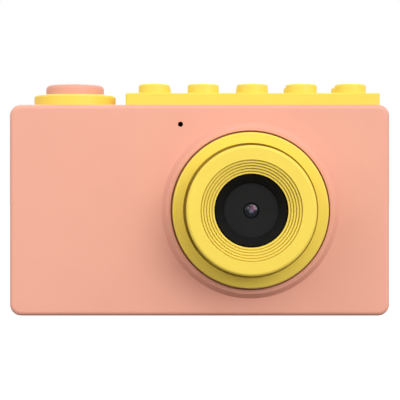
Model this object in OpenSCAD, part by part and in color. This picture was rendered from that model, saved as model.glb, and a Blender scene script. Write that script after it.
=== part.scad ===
// A children's compact digital camera: a two-part casing with a stepped lens in front, a stud rail and a
// shutter button on top, and a screen, a second lens and eight keys at the back.
// Millimetres. X runs across the camera, Y from its front to its back, Z up from the surface it stands on.

/* [Casing] */
// Width of the casing
body_w = 84; // [83:0.5:90]
// Height of the casing
body_h = 46.7; // [46:0.1:50]
// Depth of the casing, from its front face to its back face
body_t = 22; // [22:0.5:24]
// Radius of the four corners, seen from the front
corner_r = 2.5; // [2:0.1:4]
// Radius of the rounded front and back edges
edge_r = 1; // [0.6:0.1:1.2]
// Thickness of the casing's walls
wall = 1.8; // [1.6:0.1:2]
// Depth of the front cover, from its face to the seam
front_depth = 9.4; // [9:0.1:9.6]

/* [Lens] */
// Distance of the lens axis from the casing's middle
lens_x = 11.2; // [9:0.1:12]
// Distance that the lens stands out of the front face
lens_len = 13; // [12:0.5:16]
// Radius of the casing's round boss at its foot
boss_r = 19.5; // [19:0.1:20]
// Height of that boss above the front face
boss_h = 1.6; // [1:0.1:2]
// Radius of the outer ring
outer_ring_r = 17.1; // [17:0.05:17.2]
// Height of the outer ring above the front face
outer_ring_h = 4.3; // [4:0.1:5]
// Radius of the front ring
front_ring_r = 14; // [13.8:0.05:14]
// Radius where the front ring's steps begin
step_r = 10.88; // [10.5:0.01:11]
// Number of steps down to the black hood
steps = 5; // [3:1:6]
// Radius of the opening at the foot of the steps
mouth_r = 7.95; // [7.8:0.05:8]

/* [Top] */
// Length of the stud rail
rail_w = 56.4; // [56:0.1:57]
// Depth of the stud rail
rail_d = 19.6; // [19.2:0.1:20]
// Height of the stud rail above the casing
rail_h = 2.65; // [2.4:0.05:3]
// Distance of the rail's middle from the casing's middle
rail_x = 11.8; // [11:0.1:12.4]
// Radius of a stud
stud_r = 3.5; // [3.2:0.05:3.6]
// Height of a stud above the rail
stud_h = 2.15; // [1.8:0.05:2.5]
// Distance between studs along the rail
stud_pitch_x = 11; // [10:0.1:11.2]
// Distance between the two rows of studs
stud_pitch_y = 10.2; // [9:0.1:10.6]
// Distance of the shutter button from the casing's middle
shutter_x = -28.4; // [-28.8:0.1:-28]
// Radius of the collar round the shutter button
collar_r = 9.23; // [9:0.01:9.4]
// Height of the collar above the casing
collar_h = 2.5; // [2.3:0.05:2.7]
// Radius of the shutter button
button_r = 6.55; // [6:0.05:6.6]
// Height of the shutter button above the casing
button_h = 5.1; // [4.5:0.05:5.2]
// Travel of the shutter button
shutter_travel = 0.8; // [0.4:0.1:1]

/* [Back] */
// Width of the screen's window
window_w = 43; // [42:0.5:43]
// Height of the screen's window
window_h = 34; // [33:0.5:34]
// Distance of the window's middle from the casing's middle
window_x = 13.2; // [13:0.1:13.4]
// Distance of the keys' middle from the casing's middle
keys_x = -25.6; // [-26:0.1:-25]
// Height of the round group of keys above the base
keys_z = 15.2; // [14.8:0.1:15.6]
// Distance that a key stands out of the back face
key_proud = 0.7; // [0.4:0.1:1]

/* [Hidden] */
$fn = 64;

// Places. Y counts from the front face and Z from the base, before on_body() centres the whole depth.
front_y = (lens_len - body_t - key_proud) / 2;
mid_y = body_t / 2;
mid_z = body_h / 2;
back_in = body_t - wall;      // the rear cover's inner face
top_in = body_h - wall;       // the casing's inner top face
seam_gap = 0.2;               // depth of the groove that marks the seam
tongue_h = 1;                 // tongue of the front cover that enters the rear cover
tongue_t = 0.85;
root = 0.5;                   // how far a boss or a rib reaches into the wall it stands on
slip = 0.1;                   // clearance between pieces that are fixed to each other
touch = 0.05;                 // clearance of a moving piece at its stop

// Casing screws
screw_x = body_w / 2 - 3.4;
screw_z = 4.6;
screw_zs = [screw_z, body_h - screw_z];
screw_shank_r = 0.9;
screw_head_r = 1.9;
screw_head_h = 1.3;
screw_seat_y = 15.7;
screw_tip_y = 4;
screw_boss_r = 2.6;
screw_rear_boss_r = 3;
screw_clear_r = screw_shank_r + 0.3;
screw_head_clear_r = screw_head_r + 0.2;
screw_relief_r = screw_boss_r + 0.8;    // cut-out round a boss in the board and the keypad

// Small screws inside: shank, length, head radius, head height
retainer_screw = [0.6, 3.4, 1.3, 0.8];
small_shank_r = 0.7;
small_head_r = 1.4;
small_head_h = 0.9;
bracket_screw_l = 4.4;
board_screw_l = 4;

// Lens stack
pocket_r = outer_ring_r + 0.3;
pocket_y = 0.4;
throat_r = 15.2;
tube_outer_r = 15;
tube_inner_r = 12.8;
band_groove = 0.7;            // the dark groove round the front ring
ring_seat_y = 1 - outer_ring_h;
groove_y = ring_seat_y + 1.6; // the groove's floor
retainer_y = 3.2;
retainer_t = 1.2;
retainer_r = 18.6;
retainer_hole_r = 8;
retainer_screw_r = 17;        // circle on which its screws stand
retainer_turns = [90, 210, 330];
retainer_boss_r = 1.6;
retainer_bar_w = 3.2;         // bar across the plate's hole, which carries the two posts
sensor_post_r = 1.4;
sensor_post_at = 5.6;
boss_taper = 1.05;            // how much narrower the casing's round boss is at its top
step_drop = 0.38;
step_w = (step_r - mouth_r) / steps;
mouth_y = steps * step_drop - lens_len;
front_wall_y = mouth_y + 1.7;
hood_r = 7.6;
hood_y = mouth_y + 0.1;
mask_r = 5.85;
mask_y = hood_y + 2.1;
mask_t = 0.8;
aperture_r = 1.75;
barrel_r = 3.5;
barrel_bore_r = 2.4;
barrel_l = 5.6;
spacer_r = 1.7;
holder_half = 5;
holder_front_y = -4;
holder_neck_r = 4.5;
holder_neck_back = 2.4;       // from the mask to the front of the holder's neck
holder_room = 3.6;            // half of the width of the room behind the filter
filter_y = -1.6;
filter_t = 0.4;
filter_half = 3.5;
sensor_half = 3;
sensor_t = 0.8;
element_start = 1.3;          // first inner element, behind the mask
element_pitch = 1.5;
element_t = 0.9;
board_y = 0.2;                // front face of the sensor's board
board_t = 0.8;
sensor_board_w = 14;

// Top pieces
rail_wall = 1.4;
peg_xs = [-10, 33.6];
peg_ys = [4.4, 17.6];
peg_r = 1.2;
rail_rim = 0.35;              // rounded edge of the rail
stud_rim = 0.55;              // rounded edge of a stud
rib_t = 0.8;                  // ribs inside the rail and in front of the battery
neck_r = 8.2;                 // collar where it passes through the casing
lip_r = 8.95;                 // collar below the casing's top wall
cap_lip_r = 7.4;
cap_step_z = body_h + 0.2;
stem_r = 1.6;
cap_wall = 1.3;
cap_top_t = 1.6;
cap_rim = 1;
cap_dome_r = 70;
spring_turns = 5;
spring_wire_r = 0.28;
spring_coil_r = 2.6;
collar_rim = 0.6;
shutter_board_z = 36.8;        // underside of the switch's board
shutter_board_t = 0.8;
shutter_board_half = 4.2;
switch_w = 4.6;
switch_h = 1.8;
switch_well_r = 1.9;
switch_dome_r = 1.2;
switch_dome_h = 1.5;
bracket_top_z = 41.6;
bracket_ear_xs = [-5.6, 5.6];
bracket_ear_z = 39;
bracket_y = 6.2;              // front of the bracket's plate, on its two bosses
bracket_t = 1;
bracket_half = 7.2;           // half of the width of the plate
bracket_arm_half = 4.4;       // half of the width of the arms
bracket_arm_y = 15.2;
bracket_boss_r = 1.8;
stem_end_z = shutter_board_z + shutter_board_t + switch_dome_h + shutter_travel + touch;
snap_half = 6.4;              // half of the width of the collar's snap tabs

// Back pieces
glass_t = 0.9;
ledge = 1.8;                  // width of the step that the window is glued to
pcb_y = 15.4;
pcb_t = 1.2;
pcb_back = pcb_y + pcb_t;
key_hole_gap = 0.2;
key_lip = 0.6;                // rim inside the casing that keeps a key in
key_lip_t = 0.8;
key_foot_y = 19.1;            // where a key stands on its silicone dome
key_foot_r = 1.5;
sector_lip = 0.35;            // the same rim on a direction key
ok_r = 3.7;
sector_in = 5;
sector_out = 9.2;
sector_half = 36;             // half of the angle that a direction key covers
small_key_r = 2.5;
key_dome_r = 2.2;
key_dome_top_r = 1.6;
key_dome_bore_r = 1.2;
keypad_t = 0.5;
direction_r = (sector_in + sector_out) / 2;
// name, x from the keys' middle, z from the base
small_keys = [[12, 39], [10.6, 27.4], [-10.6, 27.4]];
rear_lens_z = 36.4;
rear_ring_r = 5.8;
rear_ring_proud = 0.5;
rear_ring_seat = 0.8;         // depth of the ring's recess
rear_tube_r = 5;
rear_bore_r = 3.6;
rear_window_r = 4.4;
rear_window_t = 0.7;
rear_module_half = 4.25;
pipe_x = keys_x + 12;
pipe_z = 33;
pipe_r = 0.9;
pipe_foot_r = 1.5;

// Side openings
usb_z = 30.2;
usb_y = 14.1;
usb_size = [5.6, 2.6, 7.8];
usb_mouth_x = body_w / 2 - 2.5;
usb_shell_t = 0.35;
usb_plug = [1.8, 6.4];        // the port cover's plug, Y then Z
flap_y = [10.9, 17.3];
flap_z = [21.8, 37.8];
flap_depth = 2.6;
flap_gap = 0.2;
flap_t = 1.3;
hinge_x = body_w / 2 - 1.2;
hinge_z = flap_z[0] + 1.5;
hinge_r = 0.6;
knuckle_r = 1.05;
card_z = 14.7;
card_y = 14.5;
card_size = [15, 0.7, 11];
card_out_x = body_w / 2 - 0.3;
card_ridge = [1.4, 1];        // thick edge for a fingernail, X then Y
card_notch = 0.9;
scoop_r = 4.3;
scoop_x = body_w / 2 + 3.4;
socket_x = [23.5, 38];
socket_t = 1.9;
socket_half = 7;
strap_y = front_depth;
strap_z = 33.6;
strap_open = [7.8, 9.2];      // opening in the casing, Y then Z
strap_wall = 1;
strap_depth = 4.2;
strap_lip = 0.8;              // flange of the cup inside the casing's wall
strap_pin_r = 0.9;
strap_pin_x = -body_w / 2 + 1.5;

// Inside
battery_size = [25, 6, 32];
battery_at = [-21.9, 5.5, 19.5];
battery_seam_h = 3;           // sealed strip along the top of the cell
side_rib_depth = 5.2;
side_rib_z = [5, 33];
cross_rib_zs = [8, 30];
lead_r = 0.5;
thin_lead_r = 0.35;          // leads of the shutter's switch, the speaker and the microphone
speaker_r = 6.3;
speaker_y = 8.3;
speaker_z = 17;
speaker_t = 3.7;
speaker_basket_t = 2.2;
speaker_cone_r = 4.2;
grille_r = 0.55;
grille_y = 3.6;               // first row of the grille, with the next two behind it
grille_row = 2;
grille_pitch = 2.3;
gasket_t = 0.6;
mic_x = -4.2;
mic_z = mid_z + 19;
mic_hole_r = 0.54;
mic_r = 2;
mic_collar_t = 0.4;           // ring on the front wall that the boot sits in
board_screw_xs = [5, 31];
board_screw_zs = [4.9, 41.7];
board_boss_r = 1.5;
lcd_size = [42, 2.2, 33.5];
lcd_y = 17.7;

// Colours
pink = [0.98, 0.71, 0.62];
yellow = [0.98, 0.87, 0.38];
black = [0.1, 0.1, 0.11];
steel = [0.75, 0.76, 0.78];

// ---------------------------------------------------------------- shared shapes

module on_body() translate([0, front_y, 0]) children();

// Turns the children so that their Z axis runs from the camera's front to its back, at (x, z).
module facing_back(x, z, y = 0) translate([x, y, z]) rotate([-90, 0, 0]) children();

// The same, with the children's Z axis towards the front.
module facing_front(x, z, y = 0) translate([x, y, z]) rotate([90, 0, 0]) children();

// Turns the children so that their Z axis runs to the camera's right.
module facing_right(x, y, z) translate([x, y, z]) rotate([0, 90, 0]) children();

// A shape of revolution about the lens axis. Its outline is drawn as [radius, Y].
module turned(x = lens_x, z = mid_z) facing_back(x, z) rotate_extrude($fn = 128) children();

module quarter(r) intersection() {
    circle(r);
    square(r);
}

module rounded_rect(w, h, r) {
    square([w - 2 * r, h], center = true);
    for (side = [0, 1]) mirror([side, 0, 0]) {
        translate([w / 2 - r, -h / 2 + r]) square([r, h - 2 * r]);
        for (end = [0, 1]) mirror([0, end, 0]) translate([w / 2 - r, h / 2 - r]) quarter(r);
    }
}

// Outline from the middle of a rounded edge outwards: flat on top, round at the rim.
module edge_outline(reach, r) {
    square([reach - r, r]);
    translate([reach - r, 0]) quarter(r);
}

// A block with round corners seen from above and a rounded rim round its top face.
module soft_block(w, h, t, corner, rim) {
    linear_extrude(t - rim) rounded_rect(w, h, corner);
    translate([0, 0, t - rim]) {
        linear_extrude(rim) square([w - 2 * corner, h - 2 * corner], center = true);
        for (side = [0, 1]) {
            mirror([0, side, 0]) translate([corner - w / 2, h / 2 - corner, 0]) rotate([90, 0, 90])
                linear_extrude(w - 2 * corner) edge_outline(corner, rim);
            mirror([side, 0, 0]) translate([w / 2 - corner, h / 2 - corner, 0]) rotate([90, 0, 0])
                linear_extrude(h - 2 * corner) edge_outline(corner, rim);
            for (end = [0, 1]) mirror([side, 0, 0]) mirror([0, end, 0])
                translate([w / 2 - corner, h / 2 - corner, 0])
                    rotate_extrude(angle = 90) edge_outline(corner, rim);
        }
    }
}

// A disc with a rounded rim round its top face.
module puck(r, h, rim) rotate_extrude($fn = 96) {
    square([r, h - rim]);
    translate([0, h - rim]) edge_outline(r, rim);
}

// A ring between two radii.
module washer(outer, inner, h) difference() {
    cylinder(r = outer, h = h);
    translate([0, 0, -1]) cylinder(r = inner, h = h + 2);
}

// A cross-head screw that points along -Z, with the underside of its head at Z 0.
module screw(shank_r, length, head_r, head_h) difference() {
    union() {
        translate([0, 0, -length]) cylinder(r = shank_r, h = length);
        puck(head_r, head_h, head_h / 3);
    }
    for (turn = [0, 90]) rotate(turn)
        translate([-head_r * 0.6, -0.2, head_h * 0.45]) cube([head_r * 1.2, 0.4, head_h]);
}

module block(low, high) translate(low) cube(high - low);

// A flat chip on the front of the main board, at (x, z).
module on_board(x, z, w, h, t) translate([x - w / 2, pcb_y - t, z - h / 2]) cube([w, t, h]);

// Sweeps a round section along a path of points. Side 0 of each ring faces the up direction.
function unit(v) = v / norm(v);
function tangent(path, i) = unit(path[min(i + 1, len(path) - 1)] - path[max(i - 1, 0)]);
function ring_point(p, t, up, r, a) =
    let (u = unit(cross(t, up)), v = cross(t, u)) p + r * (u * cos(a) + v * sin(a));
module tube(path, r, sides = 8, up = [1, 0, 0]) {
    rings = len(path);
    points = [for (i = [0:rings - 1], k = [0:sides - 1])
        ring_point(path[i], tangent(path, i), up, r, 360 * k / sides)];
    walls = [for (i = [0:rings - 2], k = [0:sides - 1]) let (n = (k + 1) % sides)
        [i * sides + k, (i + 1) * sides + k, (i + 1) * sides + n, i * sides + n]];
    polyhedron(points, concat(walls,
        [[for (k = [0:sides - 1]) k]],
        [[for (k = [sides - 1:-1:0]) (rings - 1) * sides + k]]));
}

// A smooth curve through a few points.
function blend_at(a, b, c, d, t) =
    0.5 * (2 * b + t * (c - a) + t * t * (2 * a - 5 * b + 4 * c - d) + t * t * t * (3 * b - a - 3 * c + d));
function smooth(p, cuts = 4) = let (last = len(p) - 1) concat(
    [for (i = [0:last - 1], k = [0:cuts - 1])
        blend_at(p[max(i - 1, 0)], p[i], p[i + 1], p[min(i + 2, last)], k / cuts)], [p[last]]);

// ---------------------------------------------------------------- casing

module casing_outline(inset = 0) rounded_rect(body_w - 2 * inset, body_h - 2 * inset, corner_r - inset);

// The casing's inside, between two depths.
module cavity(from, to) facing_back(0, mid_z, from)
    linear_extrude(to - from) rounded_rect(body_w - 2 * wall, body_h - 2 * wall, corner_r - wall + 0.2);

// The tongue that joins the two covers, grown by a clearance for its groove.
module seam_tongue(grow, depth) facing_back(0, mid_z, front_depth) linear_extrude(depth) difference() {
    casing_outline(wall - tongue_t - grow);
    rounded_rect(body_w - 2 * wall, body_h - 2 * wall, corner_r - wall + 0.2);
}

module at_screws() for (x = [-screw_x, screw_x], z = screw_zs) facing_back(x, z) children();

// Holes in the casing's top wall, which the seam crosses.
module top_openings() {
    translate([shutter_x, mid_y, top_in - 2]) cylinder(r = neck_r + slip, h = wall + 4);
    for (x = peg_xs, y = peg_ys) translate([x, y, top_in - 1]) cylinder(r = peg_r + slip, h = wall + 2);
}

// The opening for the strap's cup in the left side wall, which the seam crosses.
module strap_opening() block(
    [-body_w / 2 - 1, strap_y - strap_open[0] / 2, strap_z - strap_open[1] / 2],
    [-body_w / 2 + wall + 1, strap_y + strap_open[0] / 2, strap_z + strap_open[1] / 2]);

module at_retainer_screws() for (turn = retainer_turns)
    facing_back(lens_x + retainer_screw_r * cos(turn), mid_z + retainer_screw_r * sin(turn)) children();

module front_cover() color(pink) on_body() difference() {
    union() {
        difference() {
            union() {
                facing_front(0, mid_z, front_depth) soft_block(body_w, body_h, front_depth, corner_r, edge_r);
                turned() polygon([[0, 0.5], [boss_r, 0.5], [boss_r, 0],
                    [boss_r - boss_taper, -boss_h], [0, -boss_h]]);
            }
            cavity(wall, front_depth + 1);
        }
        seam_tongue(0, tongue_h);
        at_screws() translate([0, 0, wall - root]) cylinder(r = screw_boss_r, h = front_depth - wall + root);
        at_retainer_screws() translate([0, 0, wall - root])
            cylinder(r = retainer_boss_r, h = retainer_y - wall + root);
        for (dx = bracket_ear_xs) facing_back(shutter_x + dx, bracket_ear_z, wall - root)
            cylinder(r = bracket_boss_r, h = bracket_y - wall + root);
        facing_back(mic_x, mic_z, wall - root)
            washer(mic_r + touch + mic_collar_t, mic_r + touch, 1.5 + root);
        front_ribs();
    }
    turned() {
        translate([0, -boss_h - 1]) square([pocket_r, boss_h + 1 + pocket_y]);
        translate([0, -1]) square([throat_r, wall + 3]);
    }
    at_screws() translate([0, 0, screw_tip_y - 0.5]) cylinder(r = screw_shank_r, h = front_depth);
    at_retainer_screws() translate([0, 0, pocket_y + 0.6]) cylinder(r = retainer_screw[0], h = 5);
    for (dx = bracket_ear_xs) facing_back(shutter_x + dx, bracket_ear_z, 2.4)
        cylinder(r = small_shank_r, h = 6);
    facing_back(mic_x, mic_z, -1) cylinder(r = mic_hole_r, h = wall + 2);
    seam_groove();
    top_openings();
    strap_opening();
    speaker_grille();
}

// Ribs that stand the battery off the front wall and keep it in place.
module front_ribs() {
    left = battery_at[0] - battery_size[0] / 2;
    right = battery_at[0] + battery_size[0] / 2;
    for (x = [left - rib_t - slip, right + slip])
        block([x, wall - root, side_rib_z[0]], [x + rib_t, side_rib_depth, side_rib_z[1]]);
    for (z = cross_rib_zs)
        block([left + 2, wall - 0.3, z], [right - 2, battery_at[1] - battery_size[1] / 2, z + 1]);
}

// A shallow groove round the casing where the two covers meet.
module seam_groove() facing_back(0, mid_z, front_depth - seam_gap) difference() {
    linear_extrude(seam_gap + 0.01) square([body_w + 2, body_h + 2], center = true);
    linear_extrude(seam_gap + 0.01) casing_outline(seam_gap);
}

// Three rows of small holes in the left side wall.
module speaker_grille() for (row = [0:2], k = [0:4 - row % 2])
    facing_right(-body_w / 2 - 1, grille_y + grille_row * row,
                 speaker_z + grille_pitch * (k - 2 + (row % 2) / 2))
        cylinder(r = grille_r, h = wall + 2);

module rear_cover() color(pink) on_body() difference() {
    union() {
        difference() {
            facing_back(0, mid_z, front_depth)
                soft_block(body_w, body_h, body_t - front_depth, corner_r, edge_r);
            cavity(front_depth - 1, back_in);
        }
        at_screws() translate([0, 0, front_depth + slip])
            cylinder(r = screw_rear_boss_r, h = body_t - front_depth - 1);
        for (x = board_screw_xs, z = board_screw_zs)
            facing_back(x, z, pcb_back) cylinder(r = board_boss_r, h = back_in - pcb_back + root);
        port_pocket();
    }
    seam_tongue(slip, tongue_h + slip);
    at_screws() {
        cylinder(r = screw_clear_r, h = body_t);
        translate([0, 0, screw_seat_y]) cylinder(r = screw_head_clear_r, h = body_t);
    }
    for (x = board_screw_xs, z = board_screw_zs)
        facing_back(x, z, pcb_back - 1) cylinder(r = small_shank_r, h = 4);
    window_opening();
    rear_lens_opening();
    key_openings();
    facing_back(pipe_x, pipe_z, back_in - 1) cylinder(r = pipe_r + slip, h = wall + 2);
    top_openings();
    strap_opening();
    port_openings();
    card_slot();
}

module window_opening() facing_back(window_x, mid_z, back_in - 1) {
    linear_extrude(wall + 2) rounded_rect(window_w - 2 * ledge, window_h - 2 * ledge, 1);
    translate([0, 0, 1 + wall - glass_t])
        linear_extrude(3) rounded_rect(window_w + 2 * slip, window_h + 2 * slip, 2);
}

module rear_lens_opening() facing_back(keys_x, rear_lens_z, back_in - 1) {
    cylinder(r = rear_tube_r + slip, h = wall + 2);
    translate([0, 0, 1 + wall - rear_ring_seat]) cylinder(r = rear_ring_r + slip, h = 2);
}

// The block inside the right side wall that the port cover closes.
module port_pocket() block(
    [body_w / 2 - flap_depth - 1.2, flap_y[0] - 0.9, flap_z[0] - 1.2],
    [body_w / 2 - 1, flap_y[1] + 1.2, flap_z[1] + 1.2]);

module port_openings() {
    block([body_w / 2 - flap_depth, flap_y[0], flap_z[0]], [body_w / 2 + 1, flap_y[1], flap_z[1]]);
    block([body_w / 2 - 5, usb_y - 1.5, usb_z - 4.1], [body_w / 2 - 1, usb_y + 1.5, usb_z + 4.1]);
    facing_back(hinge_x, hinge_z, flap_y[0] - 0.6) cylinder(r = hinge_r, h = flap_y[1] - flap_y[0] + 1.2);
    // finger notch over the free end of the cover
    facing_back(body_w / 2 + 1.6, flap_z[1] + 0.4, (flap_y[0] + flap_y[1]) / 2 - 2) cylinder(r = 2.6, h = 4);
}

// The slot for the memory card, with a scoop for a fingertip.
module card_slot() {
    block([body_w / 2 - wall - 1, card_y - 0.6, card_z - card_size[2] / 2 - 0.3],
          [body_w / 2 + 1, card_y + 0.9, card_z + card_size[2] / 2 + 0.3]);
    translate([scoop_x, card_y + 0.15, card_z - 3]) cylinder(r = scoop_r, h = 6);
}

module case_screws() color(steel) on_body() at_screws() translate([0, 0, screw_seat_y])
    screw(screw_shank_r, screw_seat_y - screw_tip_y, screw_head_r, screw_head_h);

// ---------------------------------------------------------------- lens

module lens_outer_ring() color(yellow) on_body() turned() {
    rim = 0.5;
    front = -outer_ring_h;
    inner = front_ring_r + band_groove;
    // band with a rounded outer rim, seated in the casing's pocket
    translate([inner, front + rim]) square([outer_ring_r - inner, outer_ring_h - rim + pocket_y]);
    translate([inner, front]) square([outer_ring_r - rim - inner, rim]);
    translate([outer_ring_r - rim, front + rim]) mirror([0, 1]) quarter(rim);
    // tube through the casing's wall
    translate([tube_inner_r, ring_seat_y]) square([front_ring_r - tube_inner_r, retainer_y - ring_seat_y]);
    translate([front_ring_r, groove_y]) square([inner - front_ring_r, retainer_y - groove_y]);
    translate([inner, pocket_y]) square([tube_outer_r - inner, retainer_y - pocket_y]);
}

module lens_front_ring() color(yellow) on_body() turned() difference() {
    rim = 0.7;
    union() {
        translate([mouth_r, rim - lens_len]) square([front_ring_r - mouth_r, lens_len - rim + ring_seat_y]);
        translate([mouth_r, -lens_len]) square([front_ring_r - rim - mouth_r, rim]);
        translate([front_ring_r - rim, rim - lens_len]) mirror([0, 1]) quarter(rim);
        translate([mouth_r, ring_seat_y]) square([tube_inner_r - 0.2 - mouth_r, retainer_y - ring_seat_y]);
    }
    // the steps down to the hood
    for (k = [0:steps - 1]) translate([0, -lens_len - 1])
        square([step_r - k * step_w, 1 + (k + 1) * step_drop]);
    // the hollow behind the front wall
    translate([0, front_wall_y]) square([tube_inner_r - 1.2, lens_len + retainer_y]);
}

// Black funnel behind the front ring, with a flange that the mask closes.
module lens_hood() color(black) on_body() turned() polygon([
    [hood_r, hood_y], [mask_r + 0.05, mask_y], [mask_r + 0.05, mask_y + mask_t],
    [10.8, mask_y + mask_t], [10.8, front_wall_y + touch], [hood_r, front_wall_y + touch]]);

module lens_mask() color([0.14, 0.14, 0.14]) on_body() turned() polygon([
    [aperture_r + 0.3, mask_y], [mask_r, mask_y], [mask_r, mask_y + mask_t],
    [aperture_r, mask_y + mask_t], [aperture_r, mask_y + 0.3]]);

// Domed first element, which shows in the mask's aperture.
module front_lens_element() color([0.25, 0.2, 0.35]) on_body() turned() {
    dome_r = 4;
    dome_h = 0.5;
    seat = mask_y + mask_t;
    intersection() {
        translate([0, seat - dome_h]) square([aperture_r - 0.1, dome_h]);
        translate([0, seat - dome_h + dome_r]) circle(dome_r);
    }
    translate([0, seat]) square([barrel_bore_r, element_start - element_pitch + element_t]);
}

module inner_lens_elements() color([0.6, 0.7, 0.8, 0.5]) on_body() {
    for (k = [0:2]) facing_back(lens_x, mid_z, mask_y + mask_t + element_start + element_pitch * k)
        cylinder(r = barrel_bore_r - 0.05, h = element_t);
}

module lens_barrel() color(black) on_body() facing_back(lens_x, mid_z, mask_y + mask_t) {
    gap = element_pitch - element_t;
    washer(barrel_r, barrel_bore_r, barrel_l);
    // spacers that hold the elements apart
    for (k = [0:2]) translate([0, 0, element_start - gap + element_pitch * k])
        washer(barrel_bore_r, spacer_r, gap);
}

// A square block on the lens axis, between two depths.
module lens_block(half, from, to)
    block([lens_x - half, from, mid_z - half], [lens_x + half, to, mid_z + half]);

module lens_holder() color(black) on_body() {
    neck_y = mask_y + mask_t + holder_neck_back;
    difference() {
        union() {
            lens_block(holder_half, holder_front_y, board_y);
            facing_back(lens_x, mid_z, neck_y) cylinder(r = holder_neck_r, h = holder_front_y + 1 - neck_y);
        }
        facing_back(lens_x, mid_z, neck_y - 1) cylinder(r = barrel_r, h = 20);
        lens_block(holder_room, filter_y, board_y + 1);
    }
}

module infrared_filter() color([0.8, 0.4, 0.45, 0.6]) on_body()
    lens_block(filter_half, filter_y, filter_y + filter_t);

module image_sensor() color([0.2, 0.25, 0.3]) on_body() lens_block(sensor_half, board_y - sensor_t, board_y);

module at_sensor_board_holes() for (side = [-1, 1])
    facing_back(lens_x + side * sensor_post_at, mid_z + side * sensor_post_at) children();

module sensor_board() color([0.1, 0.4, 0.25]) on_body() difference() {
    lens_block(sensor_board_w / 2, board_y, board_y + board_t);
    at_sensor_board_holes() cylinder(r = 0.7, h = 5);
}

// Ribbon from the sensor's board back to the main board. Its outline is drawn as [Y, Z].
module sensor_flex() color([0.8, 0.5, 0.15]) on_body() {
    t = 0.2;
    bend_r = 2;
    start_y = board_y + board_t;
    turn_y = pcb_y - 1.2 - bend_r;
    z = mid_z - 5.5;
    translate([lens_x + 3, 0, 0]) rotate([0, -90, 0]) linear_extrude(6) rotate(90) mirror([0, 1, 0]) {
        translate([start_y, z]) square([turn_y - start_y, t]);
        translate([turn_y, z - bend_r]) intersection() {
            square(bend_r + t);
            difference() {
                circle(bend_r + t);
                circle(bend_r);
            }
        }
        translate([turn_y + bend_r, z - bend_r - 3]) square([t, 3]);
    }
}

// Plate behind the rings that clamps them to the casing and carries the sensor's board on two posts.
module lens_retainer() color([0.2, 0.2, 0.21]) on_body() {
    facing_front(lens_x, mid_z, retainer_y + retainer_t) linear_extrude(retainer_t) difference() {
        circle(retainer_r, $fn = 128);
        difference() {
            circle(retainer_hole_r);
            rotate(45) square([2 * retainer_hole_r + 1, retainer_bar_w], center = true);
        }
        circle(retainer_bar_w);
        for (turn = retainer_turns) rotate(turn) translate([retainer_screw_r, 0])
            circle(retainer_screw[0] + 0.3);
    }
    at_sensor_board_holes() translate([0, 0, board_y + board_t])
        cylinder(r = sensor_post_r, h = retainer_y - board_y - board_t + root);
}

module lens_retainer_screws() color(steel) on_body() at_retainer_screws()
    translate([0, 0, retainer_y + retainer_t])
        screw(retainer_screw[0], retainer_screw[1], retainer_screw[2], retainer_screw[3]);

// ---------------------------------------------------------------- top

// The rail's four pegs, seen from the rail's middle.
module at_pegs() for (x = peg_xs, y = peg_ys) translate([x - rail_x, y - mid_y, 0]) children();

module top_rail() color(yellow) on_body() translate([rail_x, mid_y, body_h]) {
    difference() {
        union() {
            soft_block(rail_w, rail_d, rail_h, 0.5, rail_rim);
            for (column = [-2:2], row = [-0.5, 0.5])
                translate([column * stud_pitch_x, row * stud_pitch_y, rail_h - root])
                    puck(stud_r, stud_h + root, stud_rim);
        }
        difference() {
            translate([0, 0, -1]) linear_extrude(1 + rail_h - rail_wall)
                square([rail_w - 2 * rail_wall, rail_d - 2 * rail_wall], center = true);
            at_pegs() translate([0, 0, -2]) cylinder(r = peg_r + rib_t, h = 5);
            for (column = [-1.5:1.5]) translate([column * stud_pitch_x - rib_t / 2, -rail_d / 2, -2])
                cube([rib_t, rail_d, 5]);
        }
    }
    at_pegs() translate([0, 0, -wall - 0.6]) cylinder(r = peg_r, h = wall + 1.6);
}

module shutter_collar() color(yellow) on_body() translate([shutter_x, mid_y, 0]) difference() {
    union() {
        translate([0, 0, body_h]) puck(collar_r, collar_h, collar_rim);
        translate([0, 0, top_in - 0.5]) cylinder(r = neck_r, h = wall + 1);
        // two tabs that snap under the casing's top wall
        intersection() {
            translate([0, 0, top_in - 1.4]) cylinder(r = lip_r, h = 1.35);
            translate([-snap_half, -lip_r, 0]) cube([2 * snap_half, 2 * lip_r, body_h]);
        }
    }
    translate([0, 0, top_in - 3]) cylinder(r = button_r + 0.2, h = 20);
    translate([0, 0, top_in - 3]) cylinder(r = cap_lip_r + 0.3, h = cap_step_z - top_in + 3);
}

// Cap of the button: a slightly domed top, a lip under the collar's step, and a stem to the switch.
module shutter_button() color(pink) on_body() translate([shutter_x, mid_y, 0]) {
    top = body_h + button_h;
    foot = cap_step_z - touch - 1;
    rotate_extrude($fn = 96) difference() {
        union() {
            intersection() {
                union() {
                    translate([0, foot]) square([button_r, top - cap_rim - foot]);
                    translate([0, top - cap_rim]) edge_outline(button_r, cap_rim);
                }
                translate([0, top - cap_dome_r]) circle(cap_dome_r, $fn = 400);
            }
            translate([0, foot]) square([cap_lip_r, 1]);
        }
        translate([0, foot - 1]) square([button_r - cap_wall, top - cap_top_t - foot + 1]);
    }
    translate([0, 0, stem_end_z]) cylinder(r = stem_r, h = top - cap_top_t + slip - stem_end_z);
}

module shutter_spring() color(steel) on_body() {
    low = bracket_top_z + spring_wire_r;
    high = body_h + button_h - cap_top_t - spring_wire_r;
    path = [for (k = [0:12 * spring_turns])
        [shutter_x + spring_coil_r * cos(30 * k), mid_y + spring_coil_r * sin(30 * k),
         low + (high - low) * k / (12 * spring_turns)]];
    tube(path, spring_wire_r, 8, [0, 0, 1]);
}

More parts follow.
